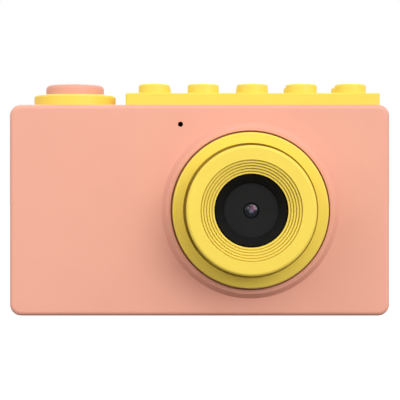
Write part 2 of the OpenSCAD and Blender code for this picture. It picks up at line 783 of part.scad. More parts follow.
// Holds the switch's board under the button, on two bosses of the front cover.
module shutter_bracket() color([0.85, 0.85, 0.83]) on_body() difference() {
    union() {
        block([shutter_x - bracket_half, bracket_y, shutter_board_z - 1],
              [shutter_x + bracket_half, bracket_y + bracket_t, bracket_top_z]);
        for (z = [[bracket_top_z - 1.2, bracket_top_z], [shutter_board_z - 1, shutter_board_z]])
            block([shutter_x - bracket_arm_half, 7, z[0]],
                  [shutter_x + bracket_arm_half, bracket_arm_y, z[1]]);
    }
    translate([shutter_x, mid_y, bracket_top_z - 2]) cylinder(r = stem_r + 0.25, h = 4);
    for (dx = bracket_ear_xs) facing_back(shutter_x + dx, bracket_ear_z, 5)
        cylinder(r = small_shank_r + slip, h = 4);
}

module bracket_screws() color(steel) on_body() for (dx = bracket_ear_xs)
    facing_back(shutter_x + dx, bracket_ear_z, bracket_y + bracket_t)
        screw(small_shank_r, bracket_screw_l, small_head_r, small_head_h);

module shutter_board() color([0.1, 0.4, 0.25]) on_body()
    block([shutter_x - shutter_board_half, bracket_y + bracket_t + slip, shutter_board_z],
          [shutter_x + shutter_board_half, bracket_arm_y - slip, shutter_board_z + shutter_board_t]);

// Tactile switch: an open case round a dome, which the end of the button's stem reaches.
module shutter_switch() color([0.3, 0.3, 0.32]) on_body()
    translate([shutter_x, mid_y, shutter_board_z + shutter_board_t]) {
        difference() {
            translate([-switch_w / 2, -switch_w / 2, 0]) cube([switch_w, switch_w, switch_h]);
            translate([0, 0, 1.2]) cylinder(r = switch_well_r, h = 2);
        }
        translate([0, 0, 1]) cylinder(r = switch_dome_r, h = switch_dome_h - 1);
    }

module shutter_leads() color([0.9, 0.9, 0.9]) on_body() for (k = [0, 1]) {
    y = 12 + 1.4 * k;
    path = [[shutter_x + 4.3, y, 37.2], [shutter_x + 6, y, 36.8], [shutter_x + 7.6, y + 0.6, 35.4],
        [shutter_x + 8, pcb_y - 0.9, 33.4], [shutter_x + 8, pcb_y - 0.45, 32.2 - 0.4 * k]];
    tube(smooth(path), thin_lead_r, 8, [0, 1, 0.3]);
}

// ---------------------------------------------------------------- back

module screen_window() color([0.05, 0.05, 0.06]) on_body() facing_back(window_x, mid_z, body_t - glass_t)
    linear_extrude(glass_t - 0.1) rounded_rect(window_w, window_h, 1.9);

module screen_gasket() color([0.2, 0.2, 0.2]) on_body() facing_back(window_x, mid_z, lcd_y + lcd_size[1])
    linear_extrude(back_in - lcd_y - lcd_size[1]) difference() {
        square([lcd_size[0], lcd_size[2]], center = true);
        square([lcd_size[0] - 3, lcd_size[2] - 3], center = true);
    }

module lcd_panel() color([0.15, 0.16, 0.2]) on_body() facing_back(window_x, mid_z, lcd_y)
    linear_extrude(lcd_size[1]) square([lcd_size[0], lcd_size[2]], center = true);

// Tray between the panel and the main board.
module lcd_frame() color([0.9, 0.9, 0.88]) on_body() facing_back(window_x, mid_z, pcb_back) {
    linear_extrude(lcd_y - pcb_back) difference() {
        square([lcd_size[0], lcd_size[2]], center = true);
        square([lcd_size[0] - 6, lcd_size[2] - 6], center = true);
    }
}

module lcd_flex() color([0.8, 0.5, 0.15]) on_body()
    block([window_x - 6, pcb_back, mid_z - lcd_size[2] / 2 + 3.1], [window_x + 6, pcb_back + 0.2, mid_z + 4]);

module rear_lens_ring() color(yellow) on_body() facing_back(keys_x, rear_lens_z, 0) difference() {
    union() {
        translate([0, 0, body_t - rear_ring_seat]) puck(rear_ring_r, rear_ring_seat + rear_ring_proud, 0.4);
        translate([0, 0, 18.6]) cylinder(r = rear_tube_r, h = 3);
    }
    cylinder(r = rear_bore_r, h = 40);
    translate([0, 0, body_t - 0.5]) cylinder(r = rear_window_r + slip, h = 5);
}

module rear_lens_window() color([0.05, 0.05, 0.06]) on_body()
    facing_back(keys_x, rear_lens_z, body_t - 0.5) cylinder(r = rear_window_r, h = rear_window_t);

module rear_camera_module() color(black) on_body() {
    half = rear_module_half;
    block([keys_x - half, pcb_back, rear_lens_z - half], [keys_x + half, 18.4, rear_lens_z + half]);
    facing_back(keys_x, rear_lens_z, 18.2) washer(3.3, 1.2, 2.9);
    facing_back(keys_x, rear_lens_z, 18.2) cylinder(r = 1.3, h = 1.8);
}

module light_pipe() color([0.9, 0.95, 0.95]) on_body() facing_back(pipe_x, pipe_z, pcb_back + 0.7) {
    cylinder(r = pipe_r, h = body_t - pcb_back - 0.6);
    cylinder(r = pipe_foot_r, h = 1.2);
}

// Outline of a direction key's face, pointing up.
module sector_outline(grow = 0) intersection() {
    difference() {
        circle(sector_out + grow);
        circle(sector_in - grow);
    }
    reach = 20;
    translate([0, -grow / sin(sector_half)])
        polygon([[0, 0], [reach * tan(sector_half), reach], [-reach * tan(sector_half), reach]]);
}

// A key: its face stands out of the back, a rim keeps it in, and a foot stands on its dome.
module key_stack(foot_at = [0, 0]) {
    translate([0, 0, back_in - touch - key_lip_t]) linear_extrude(key_lip_t) children(1);
    translate([0, 0, back_in - touch - 0.1])
        linear_extrude(body_t + key_proud - back_in + touch + 0.1) children(0);
    translate([foot_at[0], foot_at[1], key_foot_y]) cylinder(r = key_foot_r, h = 1);
}

module round_key(x, z, r) color(yellow) on_body() facing_back(x, z) key_stack() {
    circle(r);
    circle(r + key_lip);
}

// turn is clockwise seen from the back, with 0 for the key at the top
module direction_key(turn) color(yellow) on_body()
    facing_back(keys_x, keys_z) rotate(180 - turn) key_stack([0, direction_r]) {
        sector_outline();
        sector_outline(sector_lip);
    }

module ok_key() round_key(keys_x, keys_z, ok_r);
module up_key() direction_key(0);
module right_key() direction_key(90);
module down_key() direction_key(180);
module left_key() direction_key(270);
module power_key() round_key(keys_x + small_keys[0][0], small_keys[0][1], small_key_r);
module mode_key() round_key(keys_x + small_keys[1][0], small_keys[1][1], small_key_r);
module playback_key() round_key(keys_x + small_keys[2][0], small_keys[2][1], small_key_r);

module key_openings() {
    facing_back(keys_x, keys_z, back_in - 1) {
        cylinder(r = ok_r + key_hole_gap, h = wall + 2);
        for (turn = [0:90:270]) rotate(turn) linear_extrude(wall + 2) sector_outline(key_hole_gap);
    }
    for (key = small_keys) facing_back(keys_x + key[0], key[1], back_in - 1)
        cylinder(r = small_key_r + key_hole_gap, h = wall + 2);
}

// Silicone sheet on the main board with a hollow dome under every key.
module silicone_keypad() color([0.85, 0.87, 0.87]) on_body() {
    places = concat([[0, keys_z]],
        [for (turn = [0:90:270]) [direction_r * sin(turn), keys_z + direction_r * cos(turn)]],
        [for (key = small_keys) key]);
    difference() {
        union() {
            block([keys_x - 13.2, pcb_back, 5.2], [keys_x + 14.4, pcb_back + keypad_t, 31]);
            block([keys_x + 9.2, pcb_back, 30], [keys_x + 14.4, pcb_back + keypad_t, 42]);
            for (p = places) facing_back(keys_x + p[0], p[1], pcb_back)
                cylinder(r1 = key_dome_r, r2 = key_dome_top_r, h = key_foot_y - pcb_back);
        }
        for (p = places) facing_back(keys_x + p[0], p[1], pcb_back - 1)
            cylinder(r = key_dome_bore_r, h = key_foot_y - pcb_back + 0.2);
        facing_back(pipe_x, pipe_z, pcb_back - 1) cylinder(r = 2, h = 3);
        at_screws() cylinder(r = screw_relief_r, h = body_t);
    }
}

// ---------------------------------------------------------------- electronics

module main_board() color([0.08, 0.35, 0.22]) on_body() difference() {
    block([-body_w / 2 + 2.6, pcb_y, 3], [body_w / 2 - 4, pcb_back, 43]);
    at_screws() cylinder(r = screw_relief_r, h = body_t);
    for (x = board_screw_xs, z = board_screw_zs) facing_back(x, z, pcb_y - 1)
        cylinder(r = small_shank_r + slip, h = 4);
}

module board_screws() color(steel) on_body() for (x = board_screw_xs, z = board_screw_zs)
    facing_front(x, z, pcb_y) screw(small_shank_r, board_screw_l, small_head_r, small_head_h);

module processor_chips() color([0.1, 0.1, 0.1]) on_body() {
    on_board(-1, 30, 12, 12, 1.1);
    on_board(14, 33, 11, 8, 1);
    on_board(-14, 12, 6, 5, 1.3);
}

module small_components() color([0.7, 0.6, 0.45]) on_body() {
    for (z = [9.5, 16]) on_board(-30, z, 4.5, 4.5, 2.2);
    on_board(-1, 19.5, 3.2, 2.5, 0.8);
    for (row = [0:3], column = [0:2]) on_board(-24 + 2.2 * column, 8 + 3 * row, 1.2, 0.7, 0.6);
    for (k = [0:5]) on_board(-6.5 + 2.2 * k, 38.2, 1.2, 0.7, 0.6);
    // lamp behind the light pipe
    block([pipe_x - 0.8, pcb_back, pipe_z - 0.5], [pipe_x + 0.8, pcb_back + 0.6, pipe_z + 0.5]);
}

// Sockets on the main board for the battery, the speaker and the sensor's ribbon.
module connectors() color([0.92, 0.9, 0.84]) on_body() {
    on_board(-12, 27, 7, 5.4, 4);
    on_board(-33.4, 26.4, 4.4, 3.6, 2);
    difference() {
        on_board(lens_x, 12.6, 9, 3, 1.2);
        block([lens_x - 3.2, 13, 12], [lens_x + 3.2, pcb_y - 0.6, 16]);
    }
}

module memory_card_socket() color(steel) on_body() difference() {
    block([socket_x[0], pcb_y - socket_t, card_z - socket_half], [socket_x[1], pcb_y, card_z + socket_half]);
    block([socket_x[0] + 2, card_y - 0.5, card_z - card_size[2] / 2 - 0.15],
          [socket_x[1] + 1, card_y + 0.5, card_z + card_size[2] / 2 + 0.15]);
}

module memory_card() color([0.12, 0.12, 0.13]) on_body() {
    x = card_out_x - card_size[0];
    low = card_y - card_size[1] / 2;
    half = card_size[2] / 2;
    // the notched outline of a small card
    translate([0, low + card_size[1], card_z]) rotate([90, 0, 0]) linear_extrude(card_size[1]) polygon([
        [card_out_x, -half], [card_out_x, half], [x + 8, half], [x + 6.6, half - card_notch],
        [x, half - card_notch], [x, -half + 0.6], [x + 0.6, -half]]);
    block([card_out_x - card_ridge[0], low, card_z - half], [card_out_x, low + card_ridge[1], card_z + half]);
}

module usb_receptacle() color(steel) on_body() difference() {
    low = [usb_mouth_x - usb_size[0], usb_y - usb_size[1] / 2, usb_z - usb_size[2] / 2];
    block(low, low + usb_size);
    block(low + [1, usb_shell_t, usb_shell_t], low + usb_size + [1, -usb_shell_t, -usb_shell_t]);
    difference() {
        block(low + [1, 0, 0], low + usb_size);
        block(low + [0, 0.01, 0.01], low + usb_size - [0, 0.01, 0.01]);
    }
}

// Rubber cover over the charging socket, hinged at its lower end.
module port_cover() color(yellow) on_body() difference() {
    outer_x = body_w / 2 - 0.05;
    union() {
        block([outer_x - flap_t, flap_y[0] + flap_gap, hinge_z],
              [outer_x, flap_y[1] - flap_gap, flap_z[1] - flap_gap]);
        facing_back(hinge_x, hinge_z, flap_y[0] + flap_gap)
            cylinder(r = knuckle_r, h = flap_y[1] - flap_y[0] - 2 * flap_gap);
        // plug that closes the socket's mouth
        block([usb_mouth_x + 0.15, usb_y - usb_plug[0] / 2, usb_z - usb_plug[1] / 2],
              [outer_x - flap_t + 0.1, usb_y + usb_plug[0] / 2, usb_z + usb_plug[1] / 2]);
    }
    facing_back(hinge_x, hinge_z, 0) cylinder(r = hinge_r + 0.05, h = body_t);
}

module port_hinge_pin() color(steel) on_body() facing_back(hinge_x, hinge_z, flap_y[0] - 0.5)
    cylinder(r = hinge_r, h = flap_y[1] - flap_y[0] + 1);

// Pouch cell: rounded long sides and a sealed strip along its top.
module battery() color([0.75, 0.77, 0.8]) on_body() translate(battery_at) {
    w = battery_size[0];
    t = battery_size[1];
    h = battery_size[2];
    translate([0, 0, -h / 2]) linear_extrude(h - battery_seam_h) rounded_rect(w, t, 1.2);
    translate([-w / 2 + 1, -0.5, h / 2 - battery_seam_h - 1]) cube([w - 2, 1, battery_seam_h + 1]);
}

module battery_leads() color("crimson") on_body() for (k = [0, 1]) {
    x = -13 + 2 * k;
    path = [[x, 5.5, 35.6], [x, 5.8, 36.8], [x, 7.6, 38], [x, 10, 37.6],
        [x, 11.9, 35.6], [x, 12.9, 32.6], [x, 13.2, 29.8]];
    tube(smooth(path), lead_r);
}

// Speaker against the grille, with two leads from its basket to their socket.
module speaker() color([0.25, 0.25, 0.26]) on_body() {
    x = -body_w / 2 + wall;
    tab_x = x + gasket_t + speaker_basket_t + 0.05;
    facing_right(x, speaker_y, speaker_z) {
        washer(speaker_r, 5, gasket_t);
        translate([0, 0, gasket_t]) cylinder(r = speaker_r, h = speaker_basket_t);
        translate([0, 0, gasket_t]) cylinder(r = speaker_cone_r, h = speaker_t);
    }
    upper = [[tab_x, 11.4, 21.1], [tab_x + 1, 11.7, 21.5], [-35.2, 13, 22.6], [-34.1, 14.2, 23.6],
        [-34.1, 14.4, 24.5]];
    lower = [[tab_x, 12.6, 19.9], [tab_x + 1.1, 12.9, 20.2], [-34.4, 13.8, 21.4], [-32.8, 14.3, 23.2],
        [-32.7, 14.4, 24.5]];
    for (path = [upper, lower]) tube(smooth(path), thin_lead_r, 8, [0, 1, 0]);
}

// Capsule in a rubber boot behind the small hole in the front, with two leads back to the main board.
module microphone() color([0.3, 0.3, 0.3]) on_body() {
    facing_back(mic_x, mic_z, wall) {
        washer(mic_r, 0.6, 0.5);
        translate([0, 0, 0.5]) cylinder(r = mic_r, h = 1.5);
    }
    for (x = [mic_x - 0.8, mic_x + 0.8])
        tube(smooth([[x, wall + 2.05, mic_z], [x, 5.5, mic_z - 0.2], [x, 9, 41.3], [x, 13, 41.2],
            [x, pcb_y - 0.05, 41.4]]), thin_lead_r);
}

// A block about the strap opening, between two places along X.
module strap_block(half, from, to)
    block([from, strap_y - half[0], strap_z - half[1]], [to, strap_y + half[0], strap_z + half[1]]);

// Cup in the left side, behind a steel bar that a wrist strap loops round.
module strap_cup() color(pink) on_body() difference() {
    half = strap_open / 2 - [slip, slip];
    inner = half - [strap_wall, strap_wall];
    out_x = -body_w / 2;
    union() {
        strap_block(half, out_x + 0.1, out_x + 3);
        strap_block(half + [strap_lip, strap_lip], out_x + wall, out_x + strap_depth + strap_wall);
    }
    strap_block(inner, out_x - 1, out_x + strap_depth);
    translate([strap_pin_x, strap_y, strap_z - half[1] + 0.3])
        cylinder(r = strap_pin_r, h = 2 * half[1] - 0.6);
}

module strap_pin() color(steel) on_body() translate([strap_pin_x, strap_y, strap_z - strap_open[1] / 2 + 0.4])
    cylinder(r = strap_pin_r, h = strap_open[1] - 0.8);

// ---------------------------------------------------------------- nodes

front_cover();
rear_cover();
case_screws();
lens_outer_ring();
lens_front_ring();
lens_hood();
lens_mask();
front_lens_element();
inner_lens_elements();
lens_barrel();
lens_holder();
infrared_filter();
image_sensor();
sensor_board();
sensor_flex();
lens_retainer();
lens_retainer_screws();
top_rail();
shutter_collar();
shutter_button();
shutter_spring();
shutter_bracket();
shutter_board();
shutter_switch();
shutter_leads();
bracket_screws();
screen_window();
screen_gasket();
lcd_panel();
lcd_frame();
lcd_flex();
rear_lens_ring();
rear_lens_window();
rear_camera_module();
light_pipe();
ok_key();
up_key();
down_key();
left_key();
right_key();
power_key();
mode_key();
playback_key();
silicone_keypad();
main_board();
processor_chips();
small_components();
connectors();
board_screws();
memory_card_socket();
memory_card();
usb_receptacle();
port_cover();
port_hinge_pin();
battery();
battery_leads();
speaker();
microphone();
strap_cup();
strap_pin();
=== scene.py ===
"""The looks of the kids digital camera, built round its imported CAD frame.

Shapes are made in millimetres in the camera's own terms: x to the right as seen from the front, y back from
the front face, z up from the base. publish() turns each one into the frame's metres.
"""

from math import asin, cos, pi, radians, sin, sqrt, tan

import bmesh
import bpy
from mathutils import Matrix, Vector


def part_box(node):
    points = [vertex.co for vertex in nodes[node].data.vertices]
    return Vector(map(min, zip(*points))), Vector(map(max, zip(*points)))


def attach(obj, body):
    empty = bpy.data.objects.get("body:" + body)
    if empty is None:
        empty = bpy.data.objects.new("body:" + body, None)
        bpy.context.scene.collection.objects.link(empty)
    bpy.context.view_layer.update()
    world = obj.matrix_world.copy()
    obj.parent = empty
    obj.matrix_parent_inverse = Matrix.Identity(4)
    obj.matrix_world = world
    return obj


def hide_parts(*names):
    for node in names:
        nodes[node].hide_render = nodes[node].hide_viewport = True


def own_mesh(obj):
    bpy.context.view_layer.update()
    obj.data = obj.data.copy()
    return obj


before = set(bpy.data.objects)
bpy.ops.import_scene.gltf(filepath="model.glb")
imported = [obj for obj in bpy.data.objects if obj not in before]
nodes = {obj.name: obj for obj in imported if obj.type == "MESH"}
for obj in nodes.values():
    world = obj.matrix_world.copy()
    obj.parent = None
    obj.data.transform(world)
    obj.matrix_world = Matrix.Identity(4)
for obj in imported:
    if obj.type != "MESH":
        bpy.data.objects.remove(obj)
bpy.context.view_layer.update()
scene = bpy.context.scene
MM = 0.001

# ------------ sizes


def box_mm(node):
    """A CAD node's lowest and highest corners, in the frame's millimetres."""
    low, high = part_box(node)
    return low / MM, high / MM


# Casing
rear_low, rear_high = box_mm("rear_cover")
BODY_W, BODY_H = rear_high.x - rear_low.x, rear_high.z - rear_low.z
BODY_T = 22.0  # from the front face to the back face
FRONT = rear_high.y - BODY_T  # the front face's place in the frame
SIDE = BODY_W / 2  # each side's distance from the middle
MID_Y, MID_Z = BODY_T / 2, BODY_H / 2
SEAM = rear_low.y - FRONT  # depth of the seam between the covers
WALL = 1.8
BACK_IN, TOP_IN = BODY_T - WALL, BODY_H - WALL  # inner faces of the back and of the top
CORNER_R, EDGE_R = 2.5, 1.0
TONGUE_T, TONGUE_H = 0.85, 1.0  # the front cover's tongue, which sits in the rear cover's groove
SLIP = 0.1  # play between parts that fit together
ROOT = 0.5  # how far a post or rib starts inside its wall
MIC_X, MIC_Z, MIC_R = -4.2, MID_Z + 19, 0.57
GRILLE_Y, GRILLE_Z, GRILLE_R = 3.6, 17, 0.55  # first row of the speaker's holes
GRILLE_ROW, GRILLE_STEP = 2, 2.3  # distance between the rows, and between the holes in a row

# Lens, front to back
ring_low, ring_high = box_mm("lens_front_ring")
outer_low, outer_high = box_mm("lens_outer_ring")
LENS_X = (ring_low.x + ring_high.x) / 2
LENS_LEN = FRONT - ring_low.y
FRONT_RING_R = (ring_high.x - ring_low.x) / 2
OUTER_RING_R, OUTER_RING_H = (outer_high.x - outer_low.x) / 2, FRONT - outer_low.y
RING_SEAT = 1 - OUTER_RING_H  # the outer ring's floor, which the front ring rests on
MOAT_W, MOAT_DEPTH = 0.72, 1.6  # dark gap round the front ring
OUTER_NECK_R, FRONT_NECK_R, NECK_PLAY = 15, 12.6, 0.2  # the rings' necks, through the front wall
BOSS_R, BOSS_H, BOSS_SLOPE, BOSS_IN = 19.5, 1.6, 1.05, 16
POCKET_Y, POCKET_GAP, POCKET_LIP = 0.4, 0.45, 0.06
STEP_R, MOUTH_R, STEPS, STEP_DROP = 10.88, 7.95, 5, 0.38
LINE_W, LINE_DEPTH = 0.19, 0.4  # fine groove at the foot of each step
MOUTH_Y = STEPS * STEP_DROP - LENS_LEN
MOUTH_T, TUNNEL_R = 1.7, 11.6  # the front ring's face at its mouth, and the room behind it
HOOD_R, HOOD_Y, HOOD_FOOT_R = 7.6, MOUTH_Y + 0.1, 10.8
MASK_R, MASK_Y, MASK_T = 5.85, MOUTH_Y + 2.2, 0.8
APERTURE_R = 1.75
RETAINER_Y, RETAINER_R = 3.2, 17  # the retainer's front, and the circle that its screws are on

# Top
rail_low, rail_high = box_mm("top_rail")
RAIL_X = (rail_low.x + rail_high.x) / 2
RAIL_W, RAIL_D = rail_high.x - rail_low.x, rail_high.y - rail_low.y
RAIL_H, RAIL_WALL, STUD_H, STUD_R = 2.65, 1.4, 2.15, 3.5
STUD_PITCH = Vector((11.0, 10.2))
PEGS, PEG_R = [(x, y) for x in (-10, 33.6) for y in (4.4, 17.6)], 1.2
collar_low, collar_high = box_mm("shutter_collar")
SHUTTER_X = (collar_low.x + collar_high.x) / 2
COLLAR_R, COLLAR_H = (collar_high.x - collar_low.x) / 2, collar_high.z - BODY_H
COLLAR_NECK_R, COLLAR_BORE = 8.2, 7.7
BUTTON_R, BUTTON_TRAVEL = 6.55, 0.8
BUTTON_SHELF = BODY_H + 0.2  # the collar's ledge, which keeps the button in

# Back
SCREW_SEAT, SCREW_TIP = 15.7, 4.0  # depths between which the casing screws' shanks lie
window_low, window_high = box_mm("screen_window")
WINDOW_X = (window_low.x + window_high.x) / 2
WINDOW_W, WINDOW_H = window_high.x - window_low.x, window_high.z - window_low.z
WINDOW_LEDGE, GLASS_T = 1.8, 0.9
SCREEN_BORDER = Vector((1.1, 0, 1.7))
KEYS_X, KEYS_Z = -25.6, 15.2
INK, INK_ROOT = 0.03, 0.02  # height of the marks printed on the keys, and their depth in the key
KEY_GAP, KEY_FACE, KEY_TRAVEL = 0.2, BODY_T + 0.7 - INK, 0.45
LIP_T, LIP_GAP = 0.8, 0.05  # the rim that holds a key behind the back wall
DOME_TOP = 19.1  # where a key's foot rests on its dome
OK_R, SECTOR_IN, SECTOR_OUT, SECTOR_HALF = 3.7, 5.0, 9.2, radians(36)
SECTOR_MID = (SECTOR_IN + SECTOR_OUT) / 2
DIRECTION_KEYS = {"up_key": 0, "right_key": 90, "down_key": 180, "left_key": 270}
SMALL_KEY_R = 2.5
SMALL_KEYS = {"power_key": (KEYS_X + 12, 39), "mode_key": (KEYS_X + 10.6, 27.4),
              "playback_key": (KEYS_X - 10.6, 27.4)}
REAR_LENS_Z, REAR_RING_R, REAR_NECK_R, REAR_FLANGE = 36.4, 5.8, 5, 0.8
PIPE_X, PIPE_Z, PIPE_R = KEYS_X + 12, 33.0, 0.9
PCB_BACK = 16.6  # the main board's back face, which the keypad lies on

# Sides
HINGE_X, HINGE_Z, HINGE_PIN_R = SIDE - 1.2, 23.3, 0.6
USB_Y, USB_Z = 14.1, 30.2
CARD_Y, CARD_Z = 14.65, 14.7
STRAP_Z, STRAP_W, STRAP_H = 33.6, 7.6, 9.0

# Screws: the radii of their shanks, and their places as x and z
CASE_SHANK, BOARD_SHANK, RETAINER_SHANK = 0.9, 0.7, 0.6
CASE_SCREWS = [(x, z) for x in (-SIDE + 3.4, SIDE - 3.4) for z in (4.6, BODY_H - 4.6)]
BRACKET_SCREWS = [(SHUTTER_X + x, 39) for x in (-5.6, 5.6)]
BOARD_SCREWS = [(x, z) for x in (5, 31) for z in (4.9, 41.7)]
RETAINER_SCREWS = [(LENS_X + RETAINER_R * cos(a), MID_Z + RETAINER_R * sin(a))
                   for a in (radians(90), radians(210), radians(330))]

# ------------ outlines and levels

UPWARD = Matrix.Identity(4)
BACKWARD = Matrix.Rotation(radians(-90), 4, "X")
FORWARD = Matrix.Rotation(radians(90), 4, "X")
RIGHTWARD = Matrix.Rotation(radians(90), 4, "Y")
LEFTWARD = RIGHTWARD @ Matrix.Rotation(pi, 4, "X")
UPRIGHT_AT_BACK = BACKWARD @ Matrix.Rotation(pi, 4, "Z")  # a mark that reads upright from behind


def place(x, y, z, turn=UPWARD):
    """Puts a shape's origin at (x, y, z), with its Z axis turned as turn says."""
    return Matrix.Translation((x, y + FRONT, z)) @ turn


def arc(cx, cy, r, start, end, steps):
    """Points on an arc, with its angles in degrees."""
    angles = [radians(start + (end - start) * k / steps) for k in range(steps + 1)]
    return [(cx + r * cos(a), cy + r * sin(a)) for a in angles]


def bend(r, steps=4):
    """Points of a quarter turn that rounds an edge, as (across, down) from the edge's corner."""
    angles = [pi / 2 * k / steps for k in range(steps + 1)]
    return [(r * (1 - cos(a)), r * (1 - sin(a))) for a in angles]


def rounded(points, steps=6):
    """A closed outline whose corners given as (x, y, radius) are rounded."""
    outline = []
    for k, point in enumerate(points):
        here = Vector(point[:2])
        radius = point[2] if len(point) > 2 else 0
        if not radius:
            outline.append(tuple(here))
            continue
        before = (Vector(points[k - 1][:2]) - here).normalized()
        after = (Vector(points[(k + 1) % len(points)][:2]) - here).normalized()
        half = before.angle(after) / 2
        reach = radius / tan(half)
        centre = here + (before + after).normalized() * (radius / sin(half))
        start, end = here + before * reach - centre, here + after * reach - centre
        turn = start.angle_signed(end)
        for i in range(steps + 1):
            spin = Matrix.Rotation(-turn * i / steps, 2)
            outline.append(tuple(centre + spin @ start))
    return outline


def rect_loop(w, h, r, steps=8):
    """A rounded rectangle as a function of how far it is set in. Every set-in has the same points."""
    def loop(inset):
        radius = max(r - inset, 0.02)
        a, b = w / 2 - inset - radius, h / 2 - inset - radius
        corners = [(a, b), (-a, b), (-a, -b), (a, -b)]
        return [p for k, (x, y) in enumerate(corners) for p in arc(x, y, radius, 90 * k, 90 * k + 90, steps)]
    return loop


def circle_loop(r, steps=96):
    """A circle as a function of how far it is set in."""
    return lambda inset: arc(0, 0, r - inset, 0, 360 - 360 / steps, steps - 1)


def sector_loop(inner, outer, half, corner=0.7):
    """A direction key's outline, pointing along +Y, as a function of how far it is set in."""
    steps, sweep = 6, 24  # points round a corner, and along half of an edge

    def polar(r, a):
        return Vector((r * sin(a), r * cos(a)))

    def loop(inset):
        low, high = inner + inset, outer - inset
        c = max(corner - inset, 0.05)
        top = half - asin((inset + c) / (high - c))
        foot = half - asin((inset + c) / (low + c))
        right = [polar(low, foot * k / sweep) for k in range(sweep)]
        turn = pi / 2 + foot - half
        right += [polar(low + c, foot) + polar(c, foot + pi - turn * k / steps)
                  for k in range(steps + 1)]
        turn = pi / 2 + half - top
        right += [polar(high - c, top) + polar(c, half + pi / 2 - turn * k / steps)
                  for k in range(steps + 1)]
        right += [polar(high, top * (1 - (k + 1) / sweep)) for k in range(sweep)]
        left = [Vector((-p.x, p.y)) for p in reversed(right[1:-1])]
        return [tuple(p) for p in right + left]
    return loop


def rim(base, top, radius, foot=0.0, steps=5):
    """Levels of a block from base to top, as (set-in, height), with its top edge and its foot rounded."""
    levels = [(down, base + across) for across, down in bend(foot, steps)] if foot else [(0, base)]
    return levels + [(across, top - down) for across, down in bend(radius, steps)]


def soft_hole(base, face, flare=0.12):
    """Levels of a cutter that opens a wall up to a face and rounds the hole's edge there."""
    edge = [(-across, face - down) for across, down in bend(flare)]
    return [(0, base)] + edge + [(-flare, face + 1)]


# ------------ solids


def add_object(name, data):
    obj = bpy.data.objects.new(name, data)
    scene.collection.objects.link(obj)
    return obj


def shape(bm, matrix=UPWARD):
    """Makes an object of a mesh, with its faces turned outwards."""
    bmesh.ops.recalc_face_normals(bm, faces=bm.faces)
    mesh = bpy.data.meshes.new("shape")
    bm.to_mesh(mesh)
    bm.free()
    mesh.transform(matrix)
    return add_object("shape", mesh)


def skin(bm, rows):
    """Faces between rows of points that go round, closed at both ends."""
    for low, high in zip(rows, rows[1:]):
        for k in range(len(low)):
            n = (k + 1) % len(low)
            bm.faces.new((low[k], low[n], high[n], high[k]))
    bm.faces.new(rows[0][::-1])
    bm.faces.new(rows[-1])


def stack(loop, levels, matrix):
    """A solid between level outlines, closed at both ends."""
    bm = bmesh.new()
    skin(bm, [[bm.verts.new((x, y, h)) for x, y in loop(inset)] for inset, h in levels])
    return shape(bm, matrix)


def lathe(outline, matrix, segments=160):
    """A closed outline of (radius, height) points, turned about Z. Points on the axis become poles."""
    bm = bmesh.new()
    turns = [2 * pi * k / segments for k in range(segments)]
    rows = []
    for r, h in outline:
        pole = r < 1e-6
        rows.append([bm.verts.new((0, 0, h))] * segments if pole
                    else [bm.verts.new((r * cos(a), r * sin(a), h)) for a in turns])
    for low, high in zip(rows, rows[1:] + rows[:1]):
        for k in range(segments):
            n = (k + 1) % segments
            corners = []
            for v in (low[k], low[n], high[n], high[k]):
                if v not in corners:
                    corners.append(v)
            if len(corners) > 2:
                bm.faces.new(corners)
    return shape(bm, matrix)


def prism(outline, base, top, matrix):
    return stack(lambda inset: outline, [(0, base), (0, top)], matrix)


def cylinder(r, base, top, matrix, steps=96):
    return stack(circle_loop(r, steps), [(0, base), (0, top)], matrix)


def block(low, high):
    """A box between two corners."""
    size = Vector(high) - Vector(low)
    outline = [(0, 0), (size.x, 0), (size.x, size.y), (0, size.y)]
    return prism(outline, 0, size.z, place(*low))


def combine(body, others, operation):
    """Joins shapes to the body, or cuts them out of it, one after another."""
    for other in others:
        tool = body.modifiers.new("combine", "BOOLEAN")
        tool.operation = operation
        tool.solver = "MANIFOLD"
        tool.object = other
        bpy.context.view_layer.update()
        made = bpy.data.meshes.new_from_object(body.evaluated_get(bpy.context.evaluated_depsgraph_get()))
        body.modifiers.clear()
        old, body.data = body.data, made
        bpy.data.meshes.remove(old)
        bpy.data.objects.remove(other)
    return body


def join(body, *others):
    return combine(body, others, "UNION")


def cut(body, *others):
    return combine(body, others, "DIFFERENCE")


def publish(obj, name, finish, body, replaces=()):
    """Turns a shape into a named piece of the camera, in metres, which rides on a body."""
    sharp = radians(32)  # an edge that turns by more than this stays crisp
    obj.name = obj.data.name = name
    obj.data.transform(Matrix.Scale(MM, 4))
    obj.data.materials.clear()
    obj.data.materials.append(finish)
    for face in obj.data.polygons:
        face.use_smooth = True
    obj.data.set_sharp_from_angle(angle=sharp)
    weighted = obj.modifiers.new("even_shading", "WEIGHTED_NORMAL")
    weighted.keep_sharp = True
    weighted.weight = 100
    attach(obj, body)
    if replaces:
        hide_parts(*replaces)
    return obj


def stand_in(obj, node, finish, body="casing"):
    """Publishes a shape in place of the CAD node of the same name."""
    return publish(obj, node + "_shell", finish, body, [node])


# ------------ materials


def linear(*rgb):
    """A colour as it looks on a screen, 0 to 255, in the linear values that a shader takes."""
    return tuple(((c / 255 + 0.055) / 1.055) ** 2.4 if c > 10 else c / 255 / 12.92 for c in rgb) + (1,)


